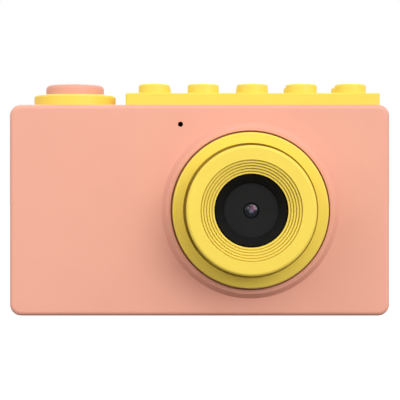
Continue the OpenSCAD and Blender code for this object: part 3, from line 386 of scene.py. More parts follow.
class Finish:
    """A Principled material whose grain, tone and bump come from noise in the object's own space."""

    def __init__(self, name, colour, roughness, metallic=0.0, **sockets):
        self.material = bpy.data.materials.new(name)
        self.material.use_nodes = True
        self.tree = self.material.node_tree
        self.shader = self.tree.nodes["Principled BSDF"]
        self.colour = colour
        self.roughness = roughness
        sockets.update({"Base Color": colour, "Roughness": roughness, "Metallic": metallic})
        for key, value in sockets.items():
            self.shader.inputs[key.replace("_", " ")].default_value = value
        self.space = self.add("ShaderNodeTexCoord", output="Object")

    def add(self, kind, inputs=None, output=0, **settings):
        """Adds a node, with its inputs linked or set to values, and gives one of its outputs."""
        node = self.tree.nodes.new(kind)
        for key, value in settings.items():
            setattr(node, key, value)
        for key, value in (inputs or {}).items():
            if isinstance(value, bpy.types.NodeSocket):
                self.tree.links.new(value, node.inputs[key])
            else:
                node.inputs[key].default_value = value
        return node.outputs[output]

    def noise(self, size_mm, stretch=(1, 1, 1)):
        """Noise whose features are about size_mm across."""
        space = self.add("ShaderNodeMapping", {0: self.space, 3: stretch})
        settings = {"Vector": space, "Scale": 1 / (size_mm * MM), "Detail": 3}
        return self.add("ShaderNodeTexNoise", settings)

    def spread(self, value, low, high, start=0.3, end=0.7):
        """Goes from low to high while a value goes from start to end."""
        return self.add("ShaderNodeMapRange", {0: value, 1: start, 2: end, 3: low, 4: high})

    def tone(self, size_mm, amount):
        """Lets the colour drift a little, darker and lighter."""
        dark = [c * (1 - amount) for c in self.colour[:3]] + [1]
        light = [min(c * (1 + amount), 1) for c in self.colour[:3]] + [1]
        value = self.spread(self.noise(size_mm), 0, 1)
        mixed = self.add("ShaderNodeMix", {0: value, 6: dark, 7: light}, 2, data_type="RGBA")
        self.tree.links.new(mixed, self.shader.inputs["Base Color"])
        return self

    def grain(self, size_mm, rough, bump, depth_mm=0.01, stretch=(1, 1, 1)):
        """Fine texture: it varies the gloss and raises the surface."""
        value = self.noise(size_mm, stretch)
        change = self.spread(value, max(self.roughness - rough, 0.02), self.roughness + rough)
        self.tree.links.new(change, self.shader.inputs["Roughness"])
        raised = self.add("ShaderNodeBump", {"Strength": bump, "Distance": depth_mm * MM, "Height": value})
        self.tree.links.new(raised, self.shader.inputs["Normal"])
        return self

    def paint(self, mask, colour):
        """Covers the part where the mask is 1 with another colour."""
        socket = self.shader.inputs["Base Color"]
        below = socket.links[0].from_socket if socket.links else self.colour
        mixed = self.add("ShaderNodeMix", {0: mask, 6: below, 7: colour}, 2, data_type="RGBA")
        self.tree.links.new(mixed, socket)
        return self

    def product(self, a, b):
        return self.add("ShaderNodeMath", {0: a, 1: b}, operation="MULTIPLY")

    def inside(self, axis, low, high, soft=0.05):
        """A mask: 1 where the place along an axis, in the frame's millimetres, is between two values."""
        part = self.add("ShaderNodeSeparateXYZ", {0: self.space}, "XYZ".index(axis))
        rise = self.spread(part, 0, 1, (low - soft) * MM, (low + soft) * MM)
        fall = self.spread(part, 1, 0, (high - soft) * MM, (high + soft) * MM)
        return self.product(rise, fall)


def material(name, rgb, roughness, tone, grain=None, metallic=0.0, stretch=(1, 1, 1), **sockets):
    """A material of one colour. tone and grain are what Finish.tone and Finish.grain take."""
    finish = Finish(name, linear(*rgb), roughness, metallic, **sockets).tone(*tone)
    if grain:
        finish.grain(*grain, stretch=stretch)
    return finish.material


def moulded(name, rgb, roughness, bump):
    """Injection-moulded plastic with a fine satin texture."""
    return material(name, rgb, roughness, (14, 0.018), (0.16, 0.07, bump, 0.006), Specular_IOR_Level=0.25)


# Coloured plastics and rubber of the outside
pink = moulded("pink_satin_plastic", (227, 163, 142), 0.46, 0.12)
button_pink = moulded("pink_button_plastic", (220, 157, 138), 0.44, 0.08)
yellow = moulded("yellow_satin_plastic", (234, 207, 83), 0.42, 0.1)
key_yellow = moulded("yellow_key_plastic", (234, 206, 83), 0.36, 0.06)
rubber = material("port_rubber", (232, 203, 83), 0.62, (5, 0.03), (0.14, 0.1, 0.2, 0.008))
icon_ink = material("icon_ink", (206, 108, 92), 0.5, (2, 0.04), (0.1, 0.08, 0.1, 0.003))

# Black and grey plastics
hood_black = material("hood_black_plastic", (20, 20, 20), 0.5, (5, 0.12), (0.12, 0.06, 0.2, 0.008),
                      Specular_IOR_Level=0.2)
mask_grey = material("mask_dark_grey", (30, 30, 30), 0.75, (4, 0.06), (0.1, 0.05, 0.15, 0.005),
                     Specular_IOR_Level=0.1)
mic_black = material("microphone_black", (5, 5, 5), 0.9, (2, 0.2), (0.2, 0.05, 0.3),
                     Specular_IOR_Level=0.0)
dark_plastic = material("dark_plastic", (48, 48, 50), 0.5, (6, 0.1), (0.2, 0.08, 0.2))
chip = material("chip_black", (30, 31, 33), 0.55, (4, 0.08), (0.1, 0.08, 0.3))
card_black = material("card_black", (32, 32, 34), 0.4, (4, 0.08), (0.1, 0.06, 0.15, 0.004))
foam = material("foam", (30, 30, 31), 0.9, (2, 0.2), (0.3, 0.05, 0.8, 0.05))

# Pale plastics, silicone and wires
white_plastic = material("white_plastic", (226, 226, 220), 0.45, (6, 0.03), (0.2, 0.08, 0.15))
ivory = material("connector_ivory", (228, 220, 196), 0.45, (4, 0.04), (0.2, 0.08, 0.15))
silicone = material("silicone", (206, 212, 212), 0.6, (6, 0.04), (0.2, 0.1, 0.1),
                    Transmission_Weight=0.1)
red_wire = material("red_wire", (178, 30, 26), 0.4, (3, 0.06), (0.2, 0.08, 0.1))
white_wire = material("white_wire", (222, 222, 218), 0.4, (3, 0.04), (0.2, 0.08, 0.1))

# Metals and electronics
steel = material("screw_steel", (176, 178, 182), 0.32, (3, 0.06), (0.08, 0.1, 0.1, 0.004), 1.0)
brushed = material("stamped_steel", (190, 191, 194), 0.3, (4, 0.05), (0.4, 0.12, 0.12, 0.004), 1.0,
                   stretch=(1, 14, 14))
contact_gold = material("contact_gold", (214, 170, 88), 0.3, (1, 0.05), (0.1, 0.05, 0.1, 0.002), 1.0)
foil = material("battery_foil", (186, 189, 194), 0.35, (8, 0.05), (0.7, 0.12, 0.35, 0.03), 0.85)
ceramic = material("component_ceramic", (150, 120, 84), 0.45, (1, 0.3), (0.1, 0.1, 0.1))
flex = material("polyimide_flex", (190, 120, 34), 0.3, (3, 0.1), (0.6, 0.05, 0.3),
                stretch=(1, 0.05, 0.05))
sensor = material("sensor_silicon", (52, 64, 78), 0.12, (1, 0.2), (0.05, 0.04, 0.1, 0.002), 0.4)

# Clear parts and plain glass
acrylic = material("clear_acrylic", (236, 242, 242), 0.12, (3, 0.02), Transmission_Weight=0.8, IOR=1.49)
inner_glass = material("inner_glass", (214, 226, 232), 0.03, (3, 0.02), Transmission_Weight=0.9, IOR=1.6)
filter_glass = material("filter_glass", (216, 150, 150), 0.03, (3, 0.03), Transmission_Weight=0.8, IOR=1.5)
display = material("display_glass", (28, 32, 40), 0.12, (5, 0.1), (0.14, 0.04, 0.05, 0.002))
rear_eye_glass = material("rear_eye_glass", (16, 14, 24), 0.04, (0.8, 0.5), Coat_Weight=1.0,
                          Coat_Roughness=0.02, IOR=1.6)


def board_finish():
    """Green solder mask with tracks and pads."""
    finish = Finish("circuit_board", linear(22, 92, 56), 0.35).tone(8, 0.06).grain(0.1, 0.08, 0.1, 0.004)
    upright = (radians(90), 0, 0)
    turned = finish.add("ShaderNodeMapping", {0: finish.space, 2: upright})
    bricks = {"Vector": turned, "Scale": 420, "Mortar Size": 0.05}
    tracks = finish.add("ShaderNodeTexBrick", bricks, "Fac", offset=0.37)
    finish.paint(finish.product(tracks, 0.75), linear(62, 140, 92))
    dots = {"Vector": finish.space, "Scale": 620, "Randomness": 0.6}
    cells = finish.add("ShaderNodeTexVoronoi", dots, "Distance")
    return finish.paint(finish.spread(cells, 1, 0, 0.12, 0.16), linear(196, 176, 110)).material


def tinted(name, low=None, high=None):
    """Black-printed window. Between low and high it is painted a dark grey, the colour of the display behind
    it.
    """
    finish = Finish(name, linear(9, 9, 11), 0.1, Specular_IOR_Level=0.3)
    finish.tone(6, 0.1).grain(3, 0.03, 0.02, 0.002)
    if low:
        mask = finish.product(finish.inside("X", low.x, high.x), finish.inside("Z", low.z, high.z))
        finish.paint(mask, linear(30, 33, 39))
    return finish.material


def lens_with_painted_reflections():
    """Dark glass with three soft painted spots: painted shade on the left, a painted violet reflection up and
    to the right, and a painted pale reflection in the middle.
    """
    finish = Finish("lens_glass_painted_reflections", linear(24, 28, 32), 0.05, IOR=1.42)
    finish.tone(1.2, 0.1)
    flat = finish.add("ShaderNodeVectorMath", {0: finish.space, 1: (1, 0, 1)}, operation="MULTIPLY")
    # Painted light: the darkest spot is painted shade, and the violet and pale spots are painted reflections.
    shade, violet_painted_reflection, pale_painted_reflection = linear(14, 15, 18), linear(108, 54, 86), linear(100, 100, 116)
    for x, z, reach, colour in ((-0.9, -0.1, 1.0, shade), (0.4, 0.45, 1.0, violet_painted_reflection), (0.0, -0.1, 0.65, pale_painted_reflection)):
        spot = (Vector((LENS_X, 0, MID_Z)) + Vector((x, 0, z))) * MM
        away = finish.add("ShaderNodeVectorMath", {0: flat, 1: spot}, "Value", operation="DISTANCE")
        finish.paint(finish.spread(away, 0.95, 0, 0.2 * reach * MM, reach * MM), colour)
    return finish.material


circuit_board = board_finish()
lens_glass = lens_with_painted_reflections()
screen_black = tinted("screen_window", window_low + SCREEN_BORDER, window_high - SCREEN_BORDER)
rear_window_black = tinted("rear_lens_window")

# CAD nodes that keep their CAD shape, by material
CARRIED = [
    (dark_plastic, "lens_barrel", "lens_holder", "lens_retainer", "speaker", "rear_camera_module"),
    (white_plastic, "shutter_bracket", "lcd_frame"), (ivory, "connectors"), (chip, "processor_chips"),
    (mic_black, "microphone"), (foam, "screen_gasket"), (ceramic, "small_components"), (foil, "battery"),
    (circuit_board, "sensor_board", "main_board", "shutter_board"), (flex, "sensor_flex", "lcd_flex"),
    (brushed, "memory_card_socket", "usb_receptacle", "shutter_switch"),
    (steel, "port_hinge_pin", "strap_pin"), (red_wire, "battery_leads"), (white_wire, "shutter_leads"),
    (inner_glass, "inner_lens_elements"), (filter_glass, "infrared_filter"), (sensor, "image_sensor"),
    (display, "lcd_panel"), (acrylic, "light_pipe"),
]
for finish, *names in CARRIED:
    for name in names:
        materials = nodes[name].data.materials
        materials.clear()
        materials.append(finish)

# ------------ casing

casing_axis = place(0, 0, MID_Z, BACKWARD)
lens_axis = place(LENS_X, 0, MID_Z, BACKWARD)
shutter_axis = place(SHUTTER_X, MID_Y, 0)
casing_outline = rect_loop(BODY_W, BODY_H, CORNER_R, 10)
cavity_outline = rect_loop(BODY_W - 2 * WALL, BODY_H - 2 * WALL, CORNER_R - WALL + 0.2, 4)


def casing_block(depth):
    """Levels of half of the casing, from a shadow groove at the seam to its face."""
    groove = [(0.2, 0), (0.2, 0.14), (0.12, 0.18), (0.04, 0.24), (0, 0.34)]
    return groove + rim(depth / 2, depth, EDGE_R, steps=8)


def cavity(start, end):
    return prism(cavity_outline(0), start, end, casing_axis)


def posts(places, r, start, end, steps=40):
    """Round posts, or cutters of holes, between two depths from the front."""
    return [cylinder(r, start, end, place(x, 0, z, BACKWARD), steps) for x, z in places]


def top_holes():
    """Cutters for the shutter's collar and the rail's pegs."""
    collar = cylinder(COLLAR_NECK_R + SLIP, TOP_IN - 2, BODY_H + 2, shutter_axis, 128)
    return [collar] + [cylinder(PEG_R + SLIP, TOP_IN - 1, BODY_H + 1, place(x, y, 0), 32) for x, y in PEGS]


def strap_hole():
    w, h = STRAP_W / 2 + SLIP, STRAP_H / 2 + SLIP
    return block((-SIDE - 1, SEAM - w, STRAP_Z - h), (-SIDE + WALL + 1, SEAM + w, STRAP_Z + h))


def lens_pocket():
    """Cutter of the pocket that the outer ring lies in, with a soft edge."""
    r = OUTER_RING_R + POCKET_GAP
    edge = [(r + across, down - BOSS_H) for across, down in bend(POCKET_LIP)]
    return lathe([(0, POCKET_Y), (r, POCKET_Y)] + edge + [(r + POCKET_LIP, -4), (0, -4)], lens_axis, 256)


def front_posts(cover):
    """Posts for the screws, and the walls and bars that hold the battery."""
    start = WALL - ROOT
    join(cover, *posts(CASE_SCREWS, 2.6, start, SEAM), *posts(RETAINER_SCREWS, 1.6, start, RETAINER_Y),
         *posts(BRACKET_SCREWS, 1.8, start, 6.2))
    low, high = box_mm("battery")
    walls = [block((x, start, 5), (x + 0.8, 5.2, 33)) for x in (low.x - 0.9, high.x + SLIP)]
    bars = [block((low.x + 2, WALL - 0.3, z), (high.x - 2, low.y - FRONT, z + 1)) for z in (8, 30)]
    join(cover, *walls, *bars)
    cut(cover, *posts(CASE_SCREWS, CASE_SHANK, SCREW_TIP - 0.5, SEAM + 1, 24),
        *posts(RETAINER_SCREWS, RETAINER_SHANK, 1, 5, 24), *posts(BRACKET_SCREWS, BOARD_SHANK, 2.4, 8, 24))


def speaker_grille():
    """Cutters of the speaker's holes in the left side, in three rows."""
    cutters = []
    for row in range(3):
        y, shift = GRILLE_Y + GRILLE_ROW * row, (row % 2) / 2
        for k in range(5 - row % 2):
            spot = place(-SIDE, y, GRILLE_Z + GRILLE_STEP * (k - 2 + shift), LEFTWARD)
            cutters.append(stack(circle_loop(GRILLE_R, 28), soft_hole(-WALL - 1, 0, 0.08), spot))
    return cutters


def front_cover():
    """Front half of the casing, with the boss round the lens and the tongue at the seam."""
    cover = stack(casing_outline, casing_block(SEAM), place(0, SEAM, MID_Z, FORWARD))
    boss = [(BOSS_IN, ROOT), (BOSS_R, ROOT), (BOSS_R, 0.0, 0.04), (BOSS_R - BOSS_SLOPE, -BOSS_H, 0.3),
            (BOSS_IN, -BOSS_H)]
    tongue = prism(casing_outline(WALL - TONGUE_T), SEAM - 0.5, SEAM + TONGUE_H, casing_axis)
    join(cover, lathe(rounded(boss), lens_axis, 256), tongue)
    cut(cover, cavity(WALL, SEAM + 2), lens_pocket(),
        cylinder(OUTER_NECK_R + NECK_PLAY, -1, 3, lens_axis, 160))
    front_posts(cover)
    microphone = stack(circle_loop(MIC_R, 40), soft_hole(-WALL - 1, 0, 0.02), place(MIC_X, 0, MIC_Z, FORWARD))
    cut(cover, microphone, strap_hole(), *top_holes())
    cut(cover, *speaker_grille())
    stand_in(cover, "front_cover", pink)


def back_hole(loop, x, z, flare=0.12, start=BACK_IN - 1, turn=BACKWARD):
    """Cutter of a hole or recess in the back face, from a depth outwards."""
    return stack(loop, soft_hole(start, BODY_T, flare), place(x, 0, z, turn))


def around_keys(turn):
    """Turns a direction key's outline: 0 is up, and the angle goes clockwise as seen from behind."""
    return BACKWARD @ Matrix.Rotation(radians(180 - turn), 4, "Z")


def key_holes():
    """Cutters of the openings that the keys look out of."""
    sector = sector_loop(SECTOR_IN - KEY_GAP, SECTOR_OUT + KEY_GAP, SECTOR_HALF + 0.02, 0.9)
    small = circle_loop(SMALL_KEY_R + KEY_GAP, 56)
    return [back_hole(circle_loop(OK_R + KEY_GAP, 72), KEYS_X, KEYS_Z),
            *[back_hole(sector, KEYS_X, KEYS_Z, turn=around_keys(turn)) for turn in DIRECTION_KEYS.values()],
            *[back_hole(small, x, z) for x, z in SMALL_KEYS.values()]]


def rear_posts(cover):
    """Posts for the screws, the thick wall at the ports, and the groove for the tongue."""
    join(cover, *posts(CASE_SCREWS, 3.0, SEAM + SLIP, BODY_T - 0.9),
         *posts(BOARD_SCREWS, 1.5, PCB_BACK, BACK_IN + ROOT),
         block((SIDE - 3.8, 10, 20.6), (SIDE - 1, 18.5, 39)))
    outline = casing_outline(WALL - TONGUE_T - SLIP)
    groove = prism(outline, SEAM - 1, SEAM + TONGUE_H + SLIP, casing_axis)
    cut(cover, cut(groove, cavity(SEAM - 2, SEAM + 3)))
    cut(cover, *posts(CASE_SCREWS, 1.2, 0, BODY_T, 32),
        *[back_hole(circle_loop(2.1, 56), x, z, 0.25, SCREW_SEAT) for x, z in CASE_SCREWS],
        *posts(BOARD_SCREWS, BOARD_SHANK, PCB_BACK - 1, 19.6, 24))


def side_hole(y, z, w, h, depth):
    """Cutter into the right side, w across the camera's depth and h high."""
    return stack(rect_loop(h, w, 0.3, 6), soft_hole(-depth, 0, 0.1), place(SIDE, y, z, RIGHTWARD))


def side_ports():
    """Cutters of the port cover's recess, the charging socket's hole and the card's slot."""
    socket = block((SIDE - 5, USB_Y - 1.5, USB_Z - 4.1), (SIDE - 1, USB_Y + 1.5, USB_Z + 4.1))
    hinge = posts([(HINGE_X, HINGE_Z)], HINGE_PIN_R, USB_Y - 3.8, USB_Y + 3.8, 32)
    nail = posts([(SIDE + 1.6, 38.2)], 2.6, USB_Y - 2, USB_Y + 2, 48)
    scoop = cylinder(4.3, CARD_Z - 3, CARD_Z + 3, place(SIDE + 3.4, CARD_Y, 0), 64)
    return [side_hole(USB_Y, 29.8, 6.4, 16, 2.6), socket, *hinge, *nail,
            side_hole(CARD_Y, CARD_Z, 1.5, 11.6, WALL + 1), scoop]


def rear_cover():
    """Back half of the casing, with all of its openings."""
    cover = stack(casing_outline, casing_block(BODY_T - SEAM), place(0, SEAM, MID_Z, BACKWARD))
    cut(cover, cavity(SEAM - 1, BACK_IN))
    rear_posts(cover)
    opening = rect_loop(WINDOW_W - 2 * WINDOW_LEDGE, WINDOW_H - 2 * WINDOW_LEDGE, 1)
    seat = rect_loop(WINDOW_W + 2 * SLIP, WINDOW_H + 2 * SLIP, 2)
    cut(cover, prism(opening(0), BACK_IN - 1, BODY_T + 1, place(WINDOW_X, 0, MID_Z, BACKWARD)),
        back_hole(seat, WINDOW_X, MID_Z, 0.15, BODY_T - GLASS_T),
        *posts([(KEYS_X, REAR_LENS_Z)], REAR_NECK_R + SLIP, BACK_IN - 1, BODY_T + 1, 96),
        back_hole(circle_loop(REAR_RING_R + SLIP, 128), KEYS_X, REAR_LENS_Z, 0.1, BODY_T - REAR_FLANGE),
        back_hole(circle_loop(PIPE_R + SLIP, 32), PIPE_X, PIPE_Z, 0.08), *key_holes(), *top_holes(),
        strap_hole(), *side_ports())
    stand_in(cover, "rear_cover", pink)


# ------------ lens


def outer_ring():
    """Ring round the front ring, with a moat between them and a neck through the front wall."""
    front, bore = -OUTER_RING_H, FRONT_NECK_R + NECK_PLAY
    moat_r, moat_y = FRONT_RING_R + MOAT_W, RING_SEAT + MOAT_DEPTH
    outline = [(moat_r, front, 0.08), (OUTER_RING_R, front, 0.45), (OUTER_RING_R, POCKET_Y),
               (OUTER_NECK_R, POCKET_Y), (OUTER_NECK_R, RETAINER_Y), (bore, RETAINER_Y), (bore, RING_SEAT),
               (FRONT_RING_R, RING_SEAT), (FRONT_RING_R, moat_y), (moat_r, moat_y)]
    stand_in(lathe(rounded(outline, 8), lens_axis, 256), "lens_outer_ring", yellow)


def front_ring():
    """Ring with fine steps down to its mouth."""
    front, back, step = -LENS_LEN, MOUTH_Y + MOUTH_T, (STEP_R - MOUTH_R) / STEPS
    outline = [(FRONT_RING_R, RING_SEAT), (FRONT_RING_R, front, 0.7), (STEP_R, front, 0.04)]
    for k in range(STEPS):
        r, y = STEP_R - k * step, front + (k + 1) * STEP_DROP
        outline += [(r, y + LINE_DEPTH), (r - LINE_W, y + LINE_DEPTH), (r - LINE_W, y), (r - step, y, 0.04)]
    outline += [(MOUTH_R, back), (TUNNEL_R, back), (TUNNEL_R, RETAINER_Y), (FRONT_NECK_R, RETAINER_Y),
                (FRONT_NECK_R, RING_SEAT)]
    stand_in(lathe(rounded(outline, 6), lens_axis, 256), "lens_front_ring", yellow)


def hood_and_mask():
    """Black cone behind the mouth, and the grey disc with the aperture at its end."""
    wall, back, bore = MOUTH_Y + MOUTH_T + 0.05, MASK_Y + MASK_T, MASK_R + 0.05
    hood = [(bore, back), (HOOD_FOOT_R, back), (HOOD_FOOT_R, wall), (HOOD_R, wall), (HOOD_R, HOOD_Y),
            (bore, MASK_Y)]
    stand_in(lathe(rounded(hood), lens_axis, 200), "lens_hood", hood_black)
    mask = [(APERTURE_R, MASK_Y, 0.05), (MASK_R, MASK_Y), (MASK_R, back), (APERTURE_R, back)]
    stand_in(lathe(rounded(mask), lens_axis, 200), "lens_mask", mask_grey)


def front_element():
    """First lens element: a dome in the aperture, with a flange behind the mask."""
    dome_r, reach, top = 4.0, APERTURE_R - 0.03, MASK_Y + 0.25
    flange_r, back, flange_t = 2.4, MASK_Y + MASK_T, 0.7
    angles = [asin(reach / dome_r) * k / 14 for k in range(15)]
    dome = [(dome_r * sin(a), top + dome_r * (1 - cos(a))) for a in angles]
    flange = [(reach, back), (flange_r, back), (flange_r, back + flange_t), (0, back + flange_t)]
    stand_in(lathe(dome + flange, lens_axis, 96), "front_lens_element", lens_glass)


# ------------ top


def top_rail():
    """Rail with two rows of studs, hollow below but for its ribs, on four pegs."""
    spot = place(RAIL_X, MID_Y, BODY_H)
    rail = stack(rect_loop(RAIL_W, RAIL_D, 0.5), rim(0, RAIL_H, 0.35), spot)
    hollow = block((rail_low.x + RAIL_WALL, MID_Y - RAIL_D / 2 + RAIL_WALL, BODY_H - 1),
                   (rail_high.x - RAIL_WALL, MID_Y + RAIL_D / 2 - RAIL_WALL, BODY_H + RAIL_H - RAIL_WALL))
    below, above, half_rib = BODY_H - 2, BODY_H + 3, 0.4
    ribs = [RAIL_X + k * STUD_PITCH.x for k in (-1.5, -0.5, 0.5, 1.5)]
    cut(hollow, *[cylinder(2, below, above, place(x, y, 0), 32) for x, y in PEGS],
        *[block((x - half_rib, 0, below), (x + half_rib, BODY_T, above)) for x in ribs])
    cut(rail, hollow)
    for column in range(-2, 3):
        for row in (-0.5, 0.5):
            spot = place(RAIL_X + column * STUD_PITCH.x, MID_Y + row * STUD_PITCH.y, BODY_H)
            join(rail, stack(circle_loop(STUD_R), rim(RAIL_H - 0.5, RAIL_H + STUD_H, 0.55, steps=7), spot))
    join(rail, *[cylinder(PEG_R, TOP_IN - 0.6, BODY_H + 1, place(x, y, 0), 32) for x, y in PEGS])
    stand_in(rail, "top_rail", yellow)


def shutter_collar():
    """Ring round the button, with two tabs that hold it under the top wall."""
    top, mouth, foot = BODY_H + COLLAR_H, BUTTON_R + 0.2, TOP_IN - 0.6
    outline = [(COLLAR_NECK_R, foot), (COLLAR_NECK_R, BODY_H), (COLLAR_R, BODY_H), (COLLAR_R, top, 0.6),
               (mouth, top, 0.25), (mouth, BUTTON_SHELF), (COLLAR_BORE, BUTTON_SHELF), (COLLAR_BORE, foot)]
    collar = lathe(rounded(outline), shutter_axis, 200)
    tab_r, tab_low, tab_high, tab_half = 8.95, TOP_IN - 1.4, TOP_IN - 0.05, 6.4
    outline = [(COLLAR_BORE, tab_low), (tab_r, tab_low), (tab_r, tab_high), (COLLAR_BORE, tab_high)]
    tabs = lathe(outline, shutter_axis, 96)
    cut(tabs, *[block((SHUTTER_X + a, 0, 30), (SHUTTER_X + b, BODY_T, 60))
                for a, b in ((-20, -tab_half), (tab_half, 20))])
    stand_in(join(collar, tabs), "shutter_collar", yellow)


def shutter_button():
    """Domed cap with a flange under the collar's shelf and a stem over the switch."""
    low, high = box_mm("shutter_button")
    dome_r, edge_r, crown_r = 70, 1.05, BUTTON_R - 1
    flange_r, flange_t, wall, stem_r = 7.4, 1, 1.3, 1.6
    foot, roof = BUTTON_SHELF - 1.05, high.z - 1.6

    def dome(r):
        return high.z - (dome_r - sqrt(dome_r ** 2 - r ** 2))

    crown = [(r, dome(r)) for r in [crown_r * k / 8 for k in range(9)]]
    edge = arc(BUTTON_R - edge_r, dome(crown_r) - edge_r, edge_r, 86, 0, 8)
    flange = [(BUTTON_R, foot + flange_t), (flange_r, foot + flange_t), (flange_r, foot)]
    inside = [(BUTTON_R - wall, foot), (BUTTON_R - wall, roof), (stem_r, roof), (stem_r, low.z), (0, low.z)]
    button = lathe(crown + edge + flange + inside, shutter_axis, 160)
    stand_in(button, "shutter_button", button_pink, "shutter_button")


def shutter_spring():
    """Coil with ends that lie flatter."""
    low, high = box_mm("shutter_spring")
    wire, sides, turns, per_turn, flatter = 0.28, 12, 5, 40, 0.06
    coil, height = (high.x - low.x) / 2 - wire, high.z - low.z
    bm = bmesh.new()
    rows = []
    for k in range(per_turn * turns + 1):
        t = k / (per_turn * turns)
        a = 2 * pi * turns * t
        rise = t - flatter * sin(2 * pi * t)
        out, up = Vector((cos(a), sin(a), 0)), Vector((0, 0, 1))
        centre = coil * out + up * (low.z + wire + (height - 2 * wire) * rise)
        rows.append([bm.verts.new(centre + wire * (out * cos(b) + up * sin(b)))
                     for b in [2 * pi * s / sides for s in range(sides)]])
    skin(bm, rows)
    spring = stand_in(shape(bm, shutter_axis), "shutter_spring", steel)
    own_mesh(spring)


# ------------ back


def screen():
    glass = stack(rect_loop(WINDOW_W, WINDOW_H, 1.9), rim(BODY_T - GLASS_T, BODY_T - 0.1, 0.12, steps=3),
                  place(WINDOW_X, 0, MID_Z, BACKWARD))
    stand_in(glass, "screen_window", screen_black)


def rear_lens():
    """Second lens: ring, black window and a small eye."""
    spot = place(KEYS_X, 0, REAR_LENS_Z, BACKWARD)
    seat, flange, face, glass = BODY_T - 0.5, BODY_T - REAR_FLANGE, BODY_T + 0.5, BODY_T + 0.2
    bore, neck_end, mouth, glass_r = 3.6, 18.6, 4.5, 4.4
    ring = [(bore, neck_end), (REAR_NECK_R, neck_end), (REAR_NECK_R, flange), (REAR_RING_R, flange),
            (REAR_RING_R, face, 0.4), (mouth + 0.25, face, 0.12), (mouth, BODY_T - 0.1), (mouth, seat),
            (bore, seat)]
    stand_in(lathe(rounded(ring), spot, 160), "rear_lens_ring", yellow)
    window = [(0, seat), (glass_r, seat), (glass_r, glass, 0.1), (0, glass)]
    stand_in(lathe(rounded(window), spot, 128), "rear_lens_window", rear_window_black)
    dome = [(0, 0), (1.5, 0), (1.5, 0.02), (1.2, 0.1), (0.6, 0.16), (0, 0.18)]
    eye = lathe([(r, glass + h) for r, h in dome], spot, 64)
    publish(eye, "rear_lens_eye", rear_eye_glass, "casing")


def key(node, outline, lip_outline, spot, foot=0.0):
    """A key: face with a soft edge, a rim inside the casing, and a foot over its dome."""
    lip_low = BACK_IN - LIP_GAP - LIP_T
    middle = lip_low + LIP_T / 2
    cap = stack(outline, rim(middle, KEY_FACE, 0.35, steps=6), spot)
    lip = stack(lip_outline, [(0, lip_low), (0, lip_low + LIP_T)], spot)
    post = cylinder(1.5, DOME_TOP, middle, spot @ Matrix.Translation((0, foot, 0)), 40)
    stand_in(join(cap, lip, post), node, key_yellow, node)


def printed(outline, spot):
    """A mark printed on a key's face."""
    return prism(outline, KEY_FACE - INK_ROOT, KEY_FACE + INK, spot)


def punched(mark, outline, spot):
    """The same mark with a hole in it."""
    return cut(mark, prism(outline, KEY_FACE - 1, KEY_FACE + 1, spot))


def icon(node, mark):
    publish(mark, node + "_icon", icon_ink, node)


def round_keys():
    """The OK key with its ring, and the four direction keys with their arrows."""
    spot = place(KEYS_X, 0, KEYS_Z, BACKWARD)
    key("ok_key", circle_loop(OK_R), circle_loop(OK_R + 0.6), spot)
    icon("ok_key", punched(printed(arc(0, 0, 1.35, 0, 352, 44), spot), arc(0, 0, 0.85, 0, 350, 36), spot))
    outline = sector_loop(SECTOR_IN, SECTOR_OUT, SECTOR_HALF)
    lip = sector_loop(SECTOR_IN - 0.35, SECTOR_OUT + 0.35, SECTOR_HALF + 0.05)
    base, tip, half = SECTOR_MID - 0.6, SECTOR_MID + 0.9, 1.1
    arrow = rounded([(-half, base, 0.2), (half, base, 0.2), (0, tip, 0.25)])
    for node, turn in DIRECTION_KEYS.items():
        spot = place(KEYS_X, 0, KEYS_Z, around_keys(turn))
        key(node, outline, lip, spot, SECTOR_MID)
        icon(node, printed(arrow, spot))


def small_keys():
    """The three small keys with their marks: play, camera and power."""
    for node, (x, z) in SMALL_KEYS.items():
        outline, lip = circle_loop(SMALL_KEY_R, 72), circle_loop(SMALL_KEY_R + 0.6, 72)
        key(node, outline, lip, place(x, 0, z, BACKWARD))
    spots = {node: place(x, 0, z, UPRIGHT_AT_BACK) for node, (x, z) in SMALL_KEYS.items()}

    arrow = rounded([(-0.7, 1.0, 0.2), (-0.7, -1.0, 0.2), (1.1, 0, 0.25)])
    icon("playback_key", printed(arrow, spots["playback_key"]))

    camera = rounded([(-1.4, -0.9, 0.25), (1.4, -0.9, 0.25), (1.4, 0.7, 0.25), (0.7, 0.7), (0.45, 1.05, 0.1),
                      (-0.45, 1.05, 0.1), (-0.7, 0.7), (-1.4, 0.7, 0.25)])
    spot = spots["mode_key"]
    icon("mode_key", punched(printed(camera, spot), arc(0, -0.1, 0.5, 0, 348, 29), spot))

    ring = arc(0, 0, 1.25, 125, 415, 40) + arc(0, 0, 0.9, 415, 125, 40)
    bar = [(-0.18, 0.3), (0.18, 0.3), (0.18, 1.45), (-0.18, 1.45)]
    spot = spots["power_key"]
    icon("power_key", join(printed(ring, spot), printed(bar, spot)))


